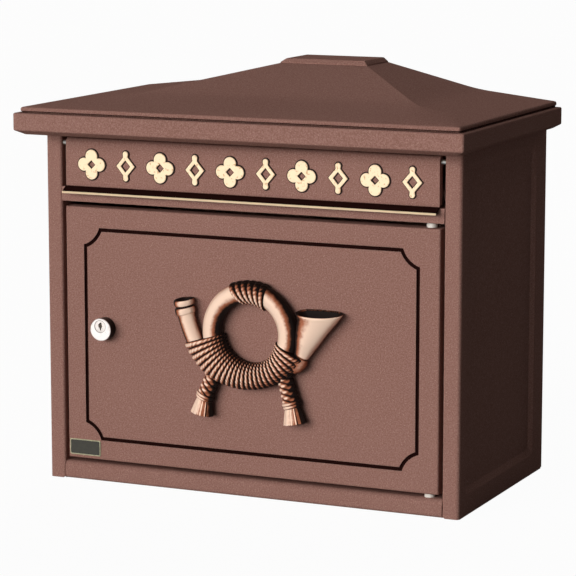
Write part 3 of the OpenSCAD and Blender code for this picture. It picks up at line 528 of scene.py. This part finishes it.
class LETTERBOX_OT_stage(bpy.types.Operator):
    """Sets the camera, the pale floor and soft light"""

    bl_idname = "letterbox.stage"
    bl_label = "Stage"

    def execute(self, context):
        props = context.scene.letterbox_stage
        scene = context.scene
        camera = bpy.data.cameras.new("picture_camera")
        camera.sensor_width = SENSOR_MM
        camera.lens = props.focal_px * SENSOR_MM / PICTURE_PX
        camera.clip_end = 60
        holder = bpy.data.objects.new("picture_camera", camera)
        scene.collection.objects.link(holder)
        turn = Matrix.Rotation(math.radians(props.azimuth), 4, "Z")
        tilt = Matrix.Rotation(math.radians(90 - props.pitch), 4, "X")
        holder.matrix_world = Matrix.Translation(props.place) @ turn @ tilt
        scene.camera = holder
        scene.view_settings.view_transform = "Standard"
        self.floor(scene)
        self.world(scene)
        return {"FINISHED"}

    def floor(self, scene):
        """A round pale floor: white to the camera, but for the soft shadow under the box."""
        sides, reach, drop = 96, 14, 0.0003
        turns = [2 * math.pi * i / sides for i in range(sides)]
        ring = [(reach * math.cos(turn), reach * math.sin(turn), -drop) for turn in turns]
        material, tree, shader = new_material("studio_floor")
        shader.inputs["Base Color"].default_value = paint("#8C8C8C")
        shader.inputs["Roughness"].default_value = 0.9
        shader.inputs["Specular IOR Level"].default_value = 0.0
        glow = add(tree, "ShaderNodeEmission", {"Color": paint("#FFFFFF"), "Strength": 1.12})
        seen = add(tree, "ShaderNodeLightPath")
        share = add(tree, "ShaderNodeMath", {0: seen.outputs["Is Camera Ray"], 1: 0.86}, operation="MULTIPLY")
        blend = add(tree, "ShaderNodeMixShader", {0: share.outputs[0], 1: shader.outputs["BSDF"],
                                                  2: glow.outputs["Emission"]})
        out = next(n for n in tree.nodes if n.type == "OUTPUT_MATERIAL")
        tree.links.new(blend.outputs[0], out.inputs["Surface"])
        thing = piece_from("studio_floor", ring, [tuple(range(sides))], material, smooth=False)
        thing.visible_glossy = False

    def world(self, scene):
        world = scene.world or bpy.data.worlds.new("studio")
        scene.world = world
        world.use_nodes = True
        tree = world.node_tree
        tree.nodes.clear()
        seen = add(tree, "ShaderNodeLightPath")
        white = add(tree, "ShaderNodeBackground", {"Color": paint("#FFFFFF"), "Strength": 1.0})
        way = add(tree, "ShaderNodeTexCoord").outputs["Generated"]
        height = add(tree, "ShaderNodeSeparateXYZ", {"Vector": way}).outputs["Z"]
        above = add(tree, "ShaderNodeMapRange", {"Value": height, "From Min": -0.32, "From Max": 0.0}, **STEP)
        total = ROOM_LIGHT
        for place, full, end, strength, fades in SOFT_BOXES:
            near = add(tree, "ShaderNodeVectorMath", {0: way, 1: Vector(place).normalized()},
                       operation="DOT_PRODUCT").outputs["Value"]
            share = add(tree, "ShaderNodeMapRange", {"Value": near, "From Min": math.cos(math.radians(end)),
                                                     "From Max": math.cos(math.radians(full))}, **STEP)
            lit = add(tree, "ShaderNodeMath", {0: share.outputs["Result"], 1: strength},
                      operation="MULTIPLY").outputs[0]
            if fades:
                lit = add(tree, "ShaderNodeMath", {0: lit, 1: above.outputs["Result"]},
                          operation="MULTIPLY").outputs[0]
            total = add(tree, "ShaderNodeMath", {0: total, 1: lit}, operation="ADD").outputs[0]
        soft = add(tree, "ShaderNodeBackground", {"Color": paint("#FFFAF6"), "Strength": total})
        clear = add(tree, "ShaderNodeMath", {0: seen.outputs["Is Camera Ray"],
                                             1: seen.outputs["Is Transmission Ray"]}, operation="MAXIMUM")
        clear = add(tree, "ShaderNodeMath", {0: clear.outputs[0], 1: seen.outputs["Is Glossy Ray"]},
                    operation="MAXIMUM")
        blend = add(tree, "ShaderNodeMixShader", {0: clear.outputs[0], 1: soft.outputs[0],
                                                  2: white.outputs[0]})
        add(tree, "ShaderNodeOutputWorld", {"Surface": blend.outputs[0]})


# The housing

class LETTERBOX_OT_housing(bpy.types.Operator):
    """Powder-coats the folded housing, the roof, the door and the flap"""

    bl_idname = "letterbox.housing"
    bl_label = "Housing and roof"

    def execute(self, context):
        props = context.scene.letterbox_paint
        coat = powder_coat("powder_coat", props.coat, props.coat_dark, props.coat_spark, props.grain)
        for node in ("left_side", "right_side", "back_panel", "floor_tray", "cross_rail", "roof"):
            dress(node, coat)
        # the door's pressed line is painted dark as shade
        pressed = powder_coat("powder_coat_with_painted_line_shade", props.coat, props.coat_dark, props.coat_spark,
                              props.grain, line=(DOOR_LOW, DOOR_HIGH, LINE_DEPTH))
        dress("door", pressed)
        # the lip is gilded on its face and painted dark as shade on the slope above it
        lip = powder_coat("powder_coat_with_gilded_lip", props.coat, props.coat_dark, props.coat_spark,
                          props.grain, gilded_lip_with_painted_shade=True)
        dress("flap", lip)
        return {"FINISHED"}


class LETTERBOX_OT_fasteners(bpy.types.Operator):
    """Finishes the pins, rivets, screws, nuts, rod, washers and lock"""

    bl_idname = "letterbox.fasteners"
    bl_label = "Fasteners and lock"

    def execute(self, context):
        zinc = zinc_plate("zinc_plated_steel")
        for node in ("roof_screws", "roof_nuts", "back_rivets", "floor_rivets", "flap_rod", "rod_clips",
                     "hinge_pin_top", "hinge_pin_bottom", "horn_studs", "horn_nuts", "lock_nut", "lock_cam",
                     "cam_screw"):
            dress(node, zinc)
        white = nylon("moulded_nylon")
        for node in ("door_washer_top", "door_washer_bottom"):
            dress(node, white)
        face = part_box("lock_body")[0][1]
        low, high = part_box("lock_plug")
        gap = ((low[0] + high[0]) / 2, (low[2] + high[2]) / 2, (high[0] - low[0]) / 2)
        # the side of the lock's head is painted dark as shade
        dress("lock_body", bright_nickel("bright_nickel", painted_shade_from=face + LOCK_FACE_DEPTH, gap=gap))
        dress("lock_plug", bright_nickel("nickel_plug", "#E2DBD6", 0.3))
        return {"FINISHED"}


# Ornaments

def polar_outline(radius, steps=160):
    """A closed outline from radius(angle), in degrees."""
    return [(radius(360 * i / steps) * math.cos(2 * math.pi * i / steps),
             radius(360 * i / steps) * math.sin(2 * math.pi * i / steps)) for i in range(steps)]


def reach_of_disc(angle, distance, at, r):
    """How far a ray from the centre gets in a disc whose centre lies at a distance, in a direction."""
    off = math.radians(angle - at)
    side = distance * math.sin(off)
    if abs(side) >= r or math.cos(off) <= 0:
        return 0.0
    return distance * math.cos(off) + math.sqrt(r * r - side * side)


def rosette_outline(h, grow):
    lobe = h * 0.22
    return polar_outline(lambda a: max([h * 0.27 + grow] + [
        reach_of_disc(a, h / 2 - lobe, at, lobe + grow) for at in (0, 90, 180, 270)]))


def lozenge_outline(h, grow):
    ball = h * 0.1
    tall, wide = h / 2 - ball + grow, h * 0.34 + grow

    def reach(a):
        c, s = abs(math.cos(math.radians(a))), abs(math.sin(math.radians(a)))
        edge = 1 / (c / wide + s / tall)
        return max(edge, *(reach_of_disc(a, h / 2 - ball, at, ball + grow) for at in (90, 270)))

    return polar_outline(reach)


def diamond(wide, tall):
    return [(wide, 0), (0, tall), (-wide, 0), (0, -tall)]


def relief(name, outer, hole, low, high, soft):
    """A raised figure between two heights, with soft edges, in the XY plane."""
    curve = bpy.data.curves.new(name, "CURVE")
    curve.dimensions = "2D"
    curve.fill_mode = "BOTH"
    curve.bevel_depth = soft
    curve.bevel_resolution = 1
    curve.offset = -soft
    curve.extrude = (high - low) / 2 - soft
    for outline in (outer, hole):
        path = curve.splines.new("POLY")
        path.points.add(len(outline) - 1)
        for point, (x, y) in zip(path.points, outline):
            point.co = (x, y, 0, 1)
        path.use_cyclic_u = True
    thing = bpy.data.objects.new(name, curve)
    bpy.context.scene.collection.objects.link(thing)
    bpy.context.view_layer.update()
    mesh = bpy.data.meshes.new_from_object(thing.evaluated_get(bpy.context.evaluated_depsgraph_get()))
    mesh.transform(Matrix.Translation((0, 0, (low + high) / 2)))
    bpy.data.objects.remove(thing)
    return mesh


def joined(name, meshes):
    whole = bmesh.new()
    for mesh in meshes:
        whole.from_mesh(mesh)
    bmesh.ops.remove_doubles(whole, verts=whole.verts, dist=1e-7)
    bmesh.ops.recalc_face_normals(whole, faces=whole.faces)
    mesh = bpy.data.meshes.new(name)
    whole.to_mesh(mesh)
    whole.free()
    thing = bpy.data.objects.new(name, mesh)
    bpy.context.scene.collection.objects.link(thing)
    return thing


def row_tree(first, second, material):
    """Geometry nodes that set two figures in turn along a line."""
    tree = bpy.data.node_groups.new("ornament_row", "GeometryNodeTree")
    face = tree.interface
    face.new_socket("Geometry", in_out="INPUT", socket_type="NodeSocketGeometry")
    face.new_socket("Count", in_out="INPUT", socket_type="NodeSocketInt").default_value = 10
    face.new_socket("Pitch", in_out="INPUT", socket_type="NodeSocketFloat").default_value = 0.03
    face.new_socket("Start", in_out="INPUT", socket_type="NodeSocketVector")
    face.new_socket("Geometry", in_out="OUTPUT", socket_type="NodeSocketGeometry")
    given = add(tree, "NodeGroupInput")
    step = add(tree, "ShaderNodeCombineXYZ", {"X": given.outputs["Pitch"]})
    line = add(tree, "GeometryNodeMeshLine", {"Count": given.outputs["Count"],
                                              "Start Location": given.outputs["Start"],
                                              "Offset": step.outputs[0]})
    figures = [add(tree, "GeometryNodeObjectInfo", {"Object": thing}).outputs["Geometry"]
               for thing in (first, second)]
    both = add(tree, "GeometryNodeGeometryToInstance")
    for figure in reversed(figures):
        tree.links.new(figure, both.inputs[0])
    number = add(tree, "GeometryNodeInputIndex")
    turn = add(tree, "ShaderNodeMath", {0: number.outputs[0], 1: 2.0}, operation="MODULO")
    stand = add(tree, "GeometryNodeInstanceOnPoints", {"Points": line.outputs[0], "Instance": both.outputs[0],
                                                       "Pick Instance": True,
                                                       "Instance Index": turn.outputs[0],
                                                       "Rotation": (math.pi / 2, 0, 0)})
    solid = add(tree, "GeometryNodeRealizeInstances", {"Geometry": stand.outputs[0]})
    painted = add(tree, "GeometryNodeSetMaterial", {"Geometry": solid.outputs[0], "Material": material})
    add(tree, "NodeGroupOutput", {"Geometry": painted.outputs[0]})
    return tree


def grown(name, tree, values):
    """The plain mesh that a tree gives, as an object at the origin."""
    holder = bpy.data.objects.new(name, bpy.data.meshes.new(name))
    bpy.context.scene.collection.objects.link(holder)
    modifier = holder.modifiers.new("row", "NODES")
    modifier.node_group = tree
    ids = {s.name: s.identifier for s in tree.interface.items_tree if s.in_out == "INPUT"}
    for key, value in values.items():
        modifier[ids[key]] = value
    bpy.context.view_layer.update()
    mesh = bpy.data.meshes.new_from_object(holder.evaluated_get(bpy.context.evaluated_depsgraph_get()))
    holder.modifiers.remove(modifier)
    holder.data = mesh
    mesh.name = name
    return holder


class LETTERBOX_OT_ornaments(bpy.types.Operator):
    """Sets the row of raised, gilded ornaments on the letter flap"""

    bl_idname = "letterbox.ornaments"
    bl_label = "Ornaments"

    def execute(self, context):
        props = context.scene.letterbox_ornaments
        h, top = props.height, props.lift
        # each figure is a low, wider foot under a gilded face, with a hole in its middle; the foot is
        # coloured as painted shade
        rim, foot = 0.0009, top * 0.45
        foot_soft, face_soft = 0.0002, 0.0005
        hole = h * 0.2 / math.sqrt(2)
        hole_wide, hole_tall = h * 0.17, h * 0.2
        rosette = joined("rosette", [
            relief("rosette_base", rosette_outline(h, rim), diamond(hole - rim, hole - rim), 0.0, foot,
                   foot_soft),
            relief("rosette_face", rosette_outline(h, 0), diamond(hole, hole), 0.0, top, face_soft)])
        lozenge = joined("lozenge", [
            relief("lozenge_base", lozenge_outline(h, rim), diamond(hole_wide - rim, hole_tall - rim), 0.0,
                   foot, foot_soft),
            relief("lozenge_face", lozenge_outline(h, 0), diamond(hole_wide, hole_tall), 0.0, top,
                   face_soft)])
        material = gilding("brushed_gilding")
        tree = row_tree(rosette, lozenge, material)
        middle = (ORNAMENT_LOW[2] + ORNAMENT_HIGH[2]) / 2
        first = ORNAMENT_LOW[0] + rim + h / 2
        start = (first, ORNAMENT_HIGH[1], middle)
        row = grown("gilded_ornaments", tree, {"Count": props.count, "Pitch": props.pitch, "Start": start})
        for thing in (rosette, lozenge):
            bpy.data.objects.remove(thing)
        if len(row.data.polygons) < 1000:
            raise RuntimeError("the row of ornaments is empty")
        for polygon in row.data.polygons:
            polygon.use_smooth = False
        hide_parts("flap_ornaments")
        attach(row, "letter_flap")
        return {"FINISHED"}


# The plate

class LETTERBOX_OT_plate(bpy.types.Operator):
    """Makes the bare plate at the door's foot, with its pale border"""

    bl_idname = "letterbox.plate"
    bl_label = "Bare plate"

    def execute(self, context):
        low, high = PLATE_LOW, PLATE_HIGH
        cx, cz = (low[0] + high[0]) / 2, (low[2] + high[2]) / 2
        w, h = (high[0] - low[0]) / 2, (high[2] - low[2]) / 2
        back, face = high[1], low[1]
        field = plate_enamel("dark_plate_enamel", "#2A2818")
        border = plate_enamel("pale_plate_enamel", "#C9C8A4")

        def rounded(dx, dz, r, y, steps=6):
            out = []
            for sx, sz, start in ((1, 1, 0), (-1, 1, 90), (-1, -1, 180), (1, -1, 270)):
                for i in range(steps + 1):
                    a = math.radians(start + 90 * i / steps)
                    x = cx + sx * (dx - r) + r * math.cos(a)
                    out.append((x, y, cz + sz * (dz - r) + r * math.sin(a)))
            return out

        levels = [(0, 1.5, back), (0, 1.5, face + 0.15 * MM), (0.15, 1.4, face), (0.8, 0.9, face),
                  (0.9, 0.8, face + 0.18 * MM)]
        points, faces, kinds = [], [], []
        for inset, r, y in levels:
            points += rounded(w - inset * MM, h - inset * MM, r * MM, y)
        n = len(points) // len(levels)
        for i in range(len(levels) - 1):
            for j in range(n):
                k = (j + 1) % n
                faces.append((i * n + j, (i + 1) * n + j, (i + 1) * n + k, i * n + k))
                kinds.append(0)
        faces.append(tuple(range(n)))
        kinds.append(0)
        faces.append(tuple((len(levels) - 1) * n + j for j in range(n))[::-1])
        kinds.append(1)
        plate = piece_from("bare_plate", points, faces, border, smooth=False)
        plate.data.materials.append(field)
        for polygon, kind in zip(plate.data.polygons, kinds):
            polygon.material_index = kind
        face_out(plate)
        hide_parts("blank_plate")
        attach(plate, "front_door")
        return {"FINISHED"}


def face_out(thing):
    """Turns all faces outwards."""
    shell = bmesh.new()
    shell.from_mesh(thing.data)
    bmesh.ops.recalc_face_normals(shell, faces=shell.faces)
    shell.to_mesh(thing.data)
    shell.free()


# The horn

# Outer and inner edge of the rope binding, as (angle, distance from the ring's centre in mm)
BINDING_OUT = [(191, 59.4), (208, 55.6), (224, 53.4), (238, 50.2), (250, 48.2), (273, 46.2), (295, 46.6),
               (318, 49.4), (341, 53.6)]
BINDING_IN = [(184, 23.0), (224, 23.2), (256, 23.8), (281, 24.6), (307, 25.3), (336, 24.6), (350, 23.8)]

# The ring's centre on the door, as X and Z in mm
HORN_CENTRE = (5.5, 138.9)

# Angles between which the parts of the ring are swept, as (start, turn) in degrees
RING_SWEEP = (-22, 224)
BINDING_IN_SWEEP = (184, 165)
BINDING_OUT_SWEEP = (191.5, 148.5)
TOP_WRAP_SWEEP = (110, -48)

# Middle of the mouthpiece's tube, as X and Z in mm from the ring's centre
MOUTHPIECE_PATH = [(-40, -26), (-46.2, -17), (-51.2, -7), (-55.2, 3), (-57.9, 12.5), (-59.0, 18),
                   (-59.8, 23.6)]
# Radius of the mouthpiece with its collar, groove and rim, as (height, radius)
MOUTHPIECE_RADII = [(-30, 7.0), (-7, 6.9), (3, 6.9), (11.6, 7.2), (12.2, 8.0), (13.2, 8.4), (16.4, 8.4),
                    (17.4, 8.0), (17.8, 7.3), (18.8, 7.3), (19.3, 8.0), (20.6, 8.5), (22.6, 8.6), (23.6, 8.4)]
# The mouthpiece's hollow, as (height, radius, how much painted highlight shows through the patina)
MOUTHPIECE_HOLLOW = [(24.0, 7.9, 0.9), (23.8, 7.2, 0.3), (22.2, 6.2, 0.0), (20.0, 4.4, 0.0), (18.0, 2.0, 0.0)]

# The bell from under the binding, past its foot collar, to the mouth, as (middle, lean in degrees, radius)
BELL_STATIONS = [
    ((36, -27), 60, 6.4), ((40.5, -23), 48, 7.2), ((44.2, -18.6), 56, 7.4), ((45.8, -15.4), 62, 6.3),
    ((48.8, -8), 66, 8.5), ((51.6, -0.5), 68, 11.0), ((54.4, 6), 72, 13.1), ((57.2, 11.2), 77, 14.9),
    ((59.6, 15.0), 83, 16.8), ((60.8, 17.6), 88, 18.6), ((61.2, 19.0), 90, 19.6)]
# How much painted highlight shows through the bell's patina, by height: the foot below the collar keeps its
# patina
BELL_RUB_AND_LIGHT_SHARE = [(-16.6, 0.55), (-15.4, 0.1), (-14.2, 1.0)]
# The bell's rolled lip and its hollow, as (height, radius, how much painted highlight shows through the
# patina)
BELL_LIP = [(19.5, 20.1, 1.3), (20.2, 20.3, 1.3), (20.7, 19.9, 1.3), (20.4, 19.1, 0.5), (18.8, 17.4, 0.12),
            (15.8, 14.4, 0.1), (11.6, 10.6, 0.05), (7.0, 7.3, 0.0), (2.0, 4.0, 0.0)]

# Directions of the painted highlight and shade on the horn's parts: each part is painted bright on the side
# that faces its direction
PAINTED_LIGHT_FROM_LEFT = (-0.52, -0.80, 0.10)
PAINTED_LIGHT_FROM_BELOW = (-0.25, -0.86, -0.42)
PAINTED_LIGHT_FROM_RIGHT = (0.62, -0.78, -0.1)
PAINTED_LIGHT_ON_BELL = (0.58, -0.80, -0.12)


class LETTERBOX_OT_horn(bpy.types.Operator):
    """Models the cast post horn: ring, rope binding, mouthpiece, bell and tassels"""

    bl_idname = "letterbox.horn"
    bl_label = "Post horn"

    def execute(self, context):
        props = context.scene.letterbox_horn
        self.props = props
        self.lift = props.lift / MM
        self.strand = props.strand / MM
        casting = Casting()
        self.ring(casting)
        self.binding(casting)
        self.top_wrap(casting)
        self.mouthpiece(casting)
        self.bell(casting)
        self.tassel(casting, (-31.4, -33.3), (-41.2, -56.5), (-2.6, -14.0), 3.0)
        self.tassel(casting, (30.6, -33.0), (37.4, -57.2), (2.6, -14.5), 11.0)
        points = [((x + HORN_CENTRE[0]) * MM, (y + DOOR_FACE) * MM, (z + HORN_CENTRE[1]) * MM)
                  for x, y, z in casting.points]
        horn = piece_from("rope_bound_post_horn", points, casting.faces, antique_copper("antique_copper"))
        face_out(horn)
        paint_rub_and_light(horn, casting)
        # the photo shows no reflection of the horn on the box
        horn.visible_glossy = False
        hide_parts("post_horn")
        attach(horn, "front_door")
        return {"FINISHED"}

    def ring(self, casting):
        r, tube = self.props.ring / MM, self.props.tube / MM
        rings, grooves = [], []
        steps = 120
        start, turn = RING_SWEEP
        for i in range(steps + 1):
            a = start + turn * i / steps
            c = (r * math.cos(math.radians(a)), r * math.sin(math.radians(a)))
            ring, groove = ring_of(c, a, tube, tube, self.lift, 48, seat=0)
            rings.append(ring)
            grooves.append(groove)
        casting.skin(rings, grooves, PAINTED_LIGHT_FROM_LEFT)

    def binding(self, casting):
        turns = self.props.turns
        steps = turns * 10
        # how far a turn of the rope stands out, and half the binding's depth, in mm
        rise, deep = 2.1, 11.2
        rings, grooves = [], []
        for i in range(steps + 1):
            t = i / steps
            a_in, a_out = (start + turn * t for start, turn in (BINDING_IN_SWEEP, BINDING_OUT_SWEEP))
            r_in, r_out = between(BINDING_IN, a_in), between(BINDING_OUT, a_out)
            p_in = (r_in * math.cos(math.radians(a_in)), r_in * math.sin(math.radians(a_in)))
            p_out = (r_out * math.cos(math.radians(a_out)), r_out * math.sin(math.radians(a_out)))
            mid = ((p_in[0] + p_out[0]) / 2, (p_in[1] + p_out[1]) / 2)
            way = math.degrees(math.atan2(p_out[1] - p_in[1], p_out[0] - p_in[0]))
            wide = math.dist(p_in, p_out) / 2
            across = (t * turns) % 1 - 0.5
            round_mm = math.pi * (wide + 11)
            phase = 2.1 * int(t * turns)
            bulge = rope_bulge(across, rise, self.strand, phase, round_mm)
            ring, groove = ring_of(mid, way, wide, deep, self.lift, 96, bulge, power=0.86)
            rings.append(ring)
            grooves.append(groove)
        casting.skin(rings, grooves, PAINTED_LIGHT_FROM_LEFT)

    def top_wrap(self, casting):
        turns = self.props.top_turns
        steps = turns * 10
        r, tube = self.props.ring / MM, self.props.tube / MM
        start, turn = TOP_WRAP_SWEEP
        rings, grooves = [], []
        for i in range(steps + 1):
            t = i / steps
            a = start + turn * t
            c = (r * 0.98 * math.cos(math.radians(a)), r * 0.98 * math.sin(math.radians(a)))
            across = (t * turns) % 1 - 0.5
            bulge = rope_bulge(across, 2.0, self.strand, 1.7 * int(t * turns), 2 * math.pi * (tube + 2))
            ring, groove = ring_of(c, a + 21, tube + 2.6, tube + 2.6, self.lift, 72, bulge)
            rings.append(ring)
            grooves.append(groove)
        casting.skin(rings, grooves, PAINTED_LIGHT_FROM_BELOW)

    def mouthpiece(self, casting):
        # heights of the dark groove between the collars, and the middle of the mouth, in mm
        groove_low, groove_high = 17.5, 19.1
        mouth_x, mouth_z = -59.6, 23.6
        rings, grooves = [], []
        steps = 150
        for i in range(steps + 1):
            t = i / steps
            p = spline(MOUTHPIECE_PATH, t)
            q = spline(MOUTHPIECE_PATH, min(t + 0.01, 1)) if t < 0.99 else p
            o = spline(MOUTHPIECE_PATH, max(t - 0.01, 0))
            way = math.degrees(math.atan2(q[1] - o[1], q[0] - o[0])) - 90
            r = between(MOUTHPIECE_RADII, p[1])
            shade = 0.15 if groove_low < p[1] < groove_high else 1.0
            tilt = 0.1 * max(0.0, min(1.0, (p[1] - 2) / 16))
            ring, groove = ring_of(p, way, r, r, self.lift, 40, tilt=tilt, seat=0.2)
            rings.append(ring)
            grooves.append([shade] * len(groove))
        # the hollow mouth
        for z, r, shade in MOUTHPIECE_HOLLOW:
            x = mouth_x + (mouth_z - z) * 0.15
            ring, groove = ring_of((x, z), 6, r, r, self.lift, 40, tilt=0.1, seat=0.2)
            rings.append(ring)
            grooves.append([shade] * len(groove))
        casting.skin(rings, grooves, PAINTED_LIGHT_FROM_RIGHT)

    def bell(self, casting):
        rings, grooves = [], []
        steps = 120
        for i in range(steps + 1):
            t = i / steps
            p = spline([s[0] for s in BELL_STATIONS], t)
            lean = spline([(s[1],) for s in BELL_STATIONS], t)[0]
            r = spline([(s[2],) for s in BELL_STATIONS], t)[0]
            tilt = 0.15 * max(0.0, min(1.0, (r - 9) / 10))
            ring, groove = ring_of(p, lean - 90, r, min(r, 7 + r * 0.28), self.lift, 72, tilt=tilt, seat=0.45)
            rings.append(ring)
            grooves.append([between(BELL_RUB_AND_LIGHT_SHARE, p[1])] * len(groove))
        # the rolled lip and the hollow of the mouth
        for z, r, shade in BELL_LIP:
            x = BELL_STATIONS[-1][0][0] - max(0.0, BELL_STATIONS[-1][0][1] - z) * 0.42
            ring, groove = ring_of((x, z), 0, r, min(r, 6.6 + r * 0.28), self.lift, 72, tilt=0.15, seat=0.12)
            rings.append(ring)
            grooves.append([shade] * len(groove))
        casting.skin(rings, grooves, PAINTED_LIGHT_ON_BELL)

    def tassel(self, casting, start, knot, skirt, seed):
        way = math.degrees(math.atan2(knot[1] - start[1], knot[0] - start[0])) - 90
        length = math.dist(start, knot)
        rings, grooves = [], []
        steps = 100
        wound = 5
        for i in range(steps + 1):
            t = i / steps
            p = tuple(a + (b - a) * t for a, b in zip(start, knot))

            def bulge(a, t=t):
                # a rope wound slantwise around the cord
                run = t * wound + 0.55 * math.cos(a) + seed
                across = run % 1 - 0.5
                crown = math.sqrt(max(0.0, 1 - (2 * across) ** 2 * 0.97))
                lay = math.sin(7 * a + 2 * math.pi * run)
                out = 1.5 * (crown - 1) + 0.22 * lay * crown
                return out, max(0.0, crown * 1.2 - 0.25) * (0.8 + 0.2 * lay)

            radius = 6.6 + 0.7 * t
            ring, groove = ring_of(p, way, radius, radius * 0.92, self.lift - 0.5, 72, bulge, seat=0.3)
            rings.append(ring)
            grooves.append([min(1.0, g) for g in groove])
        casting.skin(rings, grooves, PAINTED_LIGHT_FROM_LEFT)
        # two cords that bind the head of the skirt
        for offset, r in ((-2.2, 7.9), (0.3, 7.4)):
            rings, grooves = [], []
            for k in range(13):
                a = math.pi * k / 12
                d = offset - 1.5 * math.cos(a)
                p = (knot[0] + d * (knot[0] - start[0]) / length, knot[1] + d * (knot[1] - start[1]) / length)
                wide = r - 1.2 + 1.5 * math.sin(a)
                ring, groove = ring_of(p, way, wide, wide * 0.9, self.lift - 0.5, 48, seat=0.3)
                rings.append(ring)
                grooves.append([max(0.1, math.sin(a))] * len(groove))
            casting.skin(rings, grooves, PAINTED_LIGHT_FROM_LEFT)
        down = math.degrees(math.atan2(skirt[1], skirt[0])) - 90
        rings, grooves = [], []
        for i in range(25):
            t = i / 24
            p = (knot[0] + skirt[0] * t, knot[1] + skirt[1] * t)
            radius = 5.8 + 4.0 * t ** 0.8

            def fringe(a, t=t):
                lay = math.cos(13 * a + seed + 1.6 * math.sin(3 * a)) + 0.6 * math.cos(29 * a + 2 * seed)
                return 0.2 * lay * (0.4 + 0.6 * t), 0.86 + 0.12 * lay

            ring, groove = ring_of(p, down, radius, radius * 0.8, self.lift - 0.5, 120, fringe, seat=0.3)
            rings.append(ring)
            grooves.append([min(1.0, max(0.0, g)) for g in groove])
        # the cut end of the fringe
        end_x, end_z = knot[0] + skirt[0], knot[1] + skirt[1]
        for share, shade in ((0.92, 0.5), (0.6, 0.2), (0.2, 0.1)):
            ring, groove = ring_of((end_x, end_z - 0.3 + 0.6 * (1 - share)), down, 9.6 * share,
                                   7.7 * share, self.lift - 0.5, 120, seat=0.3)
            rings.append(ring)
            grooves.append([shade] * len(groove))
        casting.skin(rings, grooves, PAINTED_LIGHT_FROM_LEFT)


class LETTERBOX_PT_panel(bpy.types.Panel):
    """Lists the steps that dress the letter box"""

    bl_idname = "LETTERBOX_PT_panel"
    bl_label = "Letter box"
    bl_space_type = "VIEW_3D"
    bl_region_type = "UI"
    bl_category = "Letter Box"

    def draw(self, context):
        layout = self.layout
        for name in ("stage", "housing", "fasteners", "ornaments", "plate", "horn"):
            layout.operator("letterbox." + name)
        for group in GROUPS:
            props = getattr(context.scene, group)
            box = layout.box()
            for key in props.__annotations__:
                box.prop(props, key)


GROUPS = {
    "letterbox_paint": LETTERBOX_PG_paint,
    "letterbox_horn": LETTERBOX_PG_horn,
    "letterbox_ornaments": LETTERBOX_PG_ornaments,
    "letterbox_stage": LETTERBOX_PG_stage,
}
OPERATORS = (LETTERBOX_OT_stage, LETTERBOX_OT_housing, LETTERBOX_OT_fasteners, LETTERBOX_OT_ornaments,
             LETTERBOX_OT_plate, LETTERBOX_OT_horn)


def register():
    for kind in (*GROUPS.values(), *OPERATORS, LETTERBOX_PT_panel):
        bpy.utils.register_class(kind)
    for name, kind in GROUPS.items():
        setattr(bpy.types.Scene, name, PointerProperty(type=kind))


def unregister():
    for name in GROUPS:
        delattr(bpy.types.Scene, name)
    for kind in (LETTERBOX_PT_panel, *reversed(OPERATORS), *reversed(tuple(GROUPS.values()))):
        bpy.utils.unregister_class(kind)


def main():
    global PAINT
    register()
    PAINT = bpy.context.scene.letterbox_paint
    bpy.ops.letterbox.stage()
    bpy.ops.letterbox.housing()
    bpy.ops.letterbox.fasteners()
    bpy.ops.letterbox.ornaments()
    bpy.ops.letterbox.plate()
    bpy.ops.letterbox.horn()


if __name__ == "__main__":
    main()
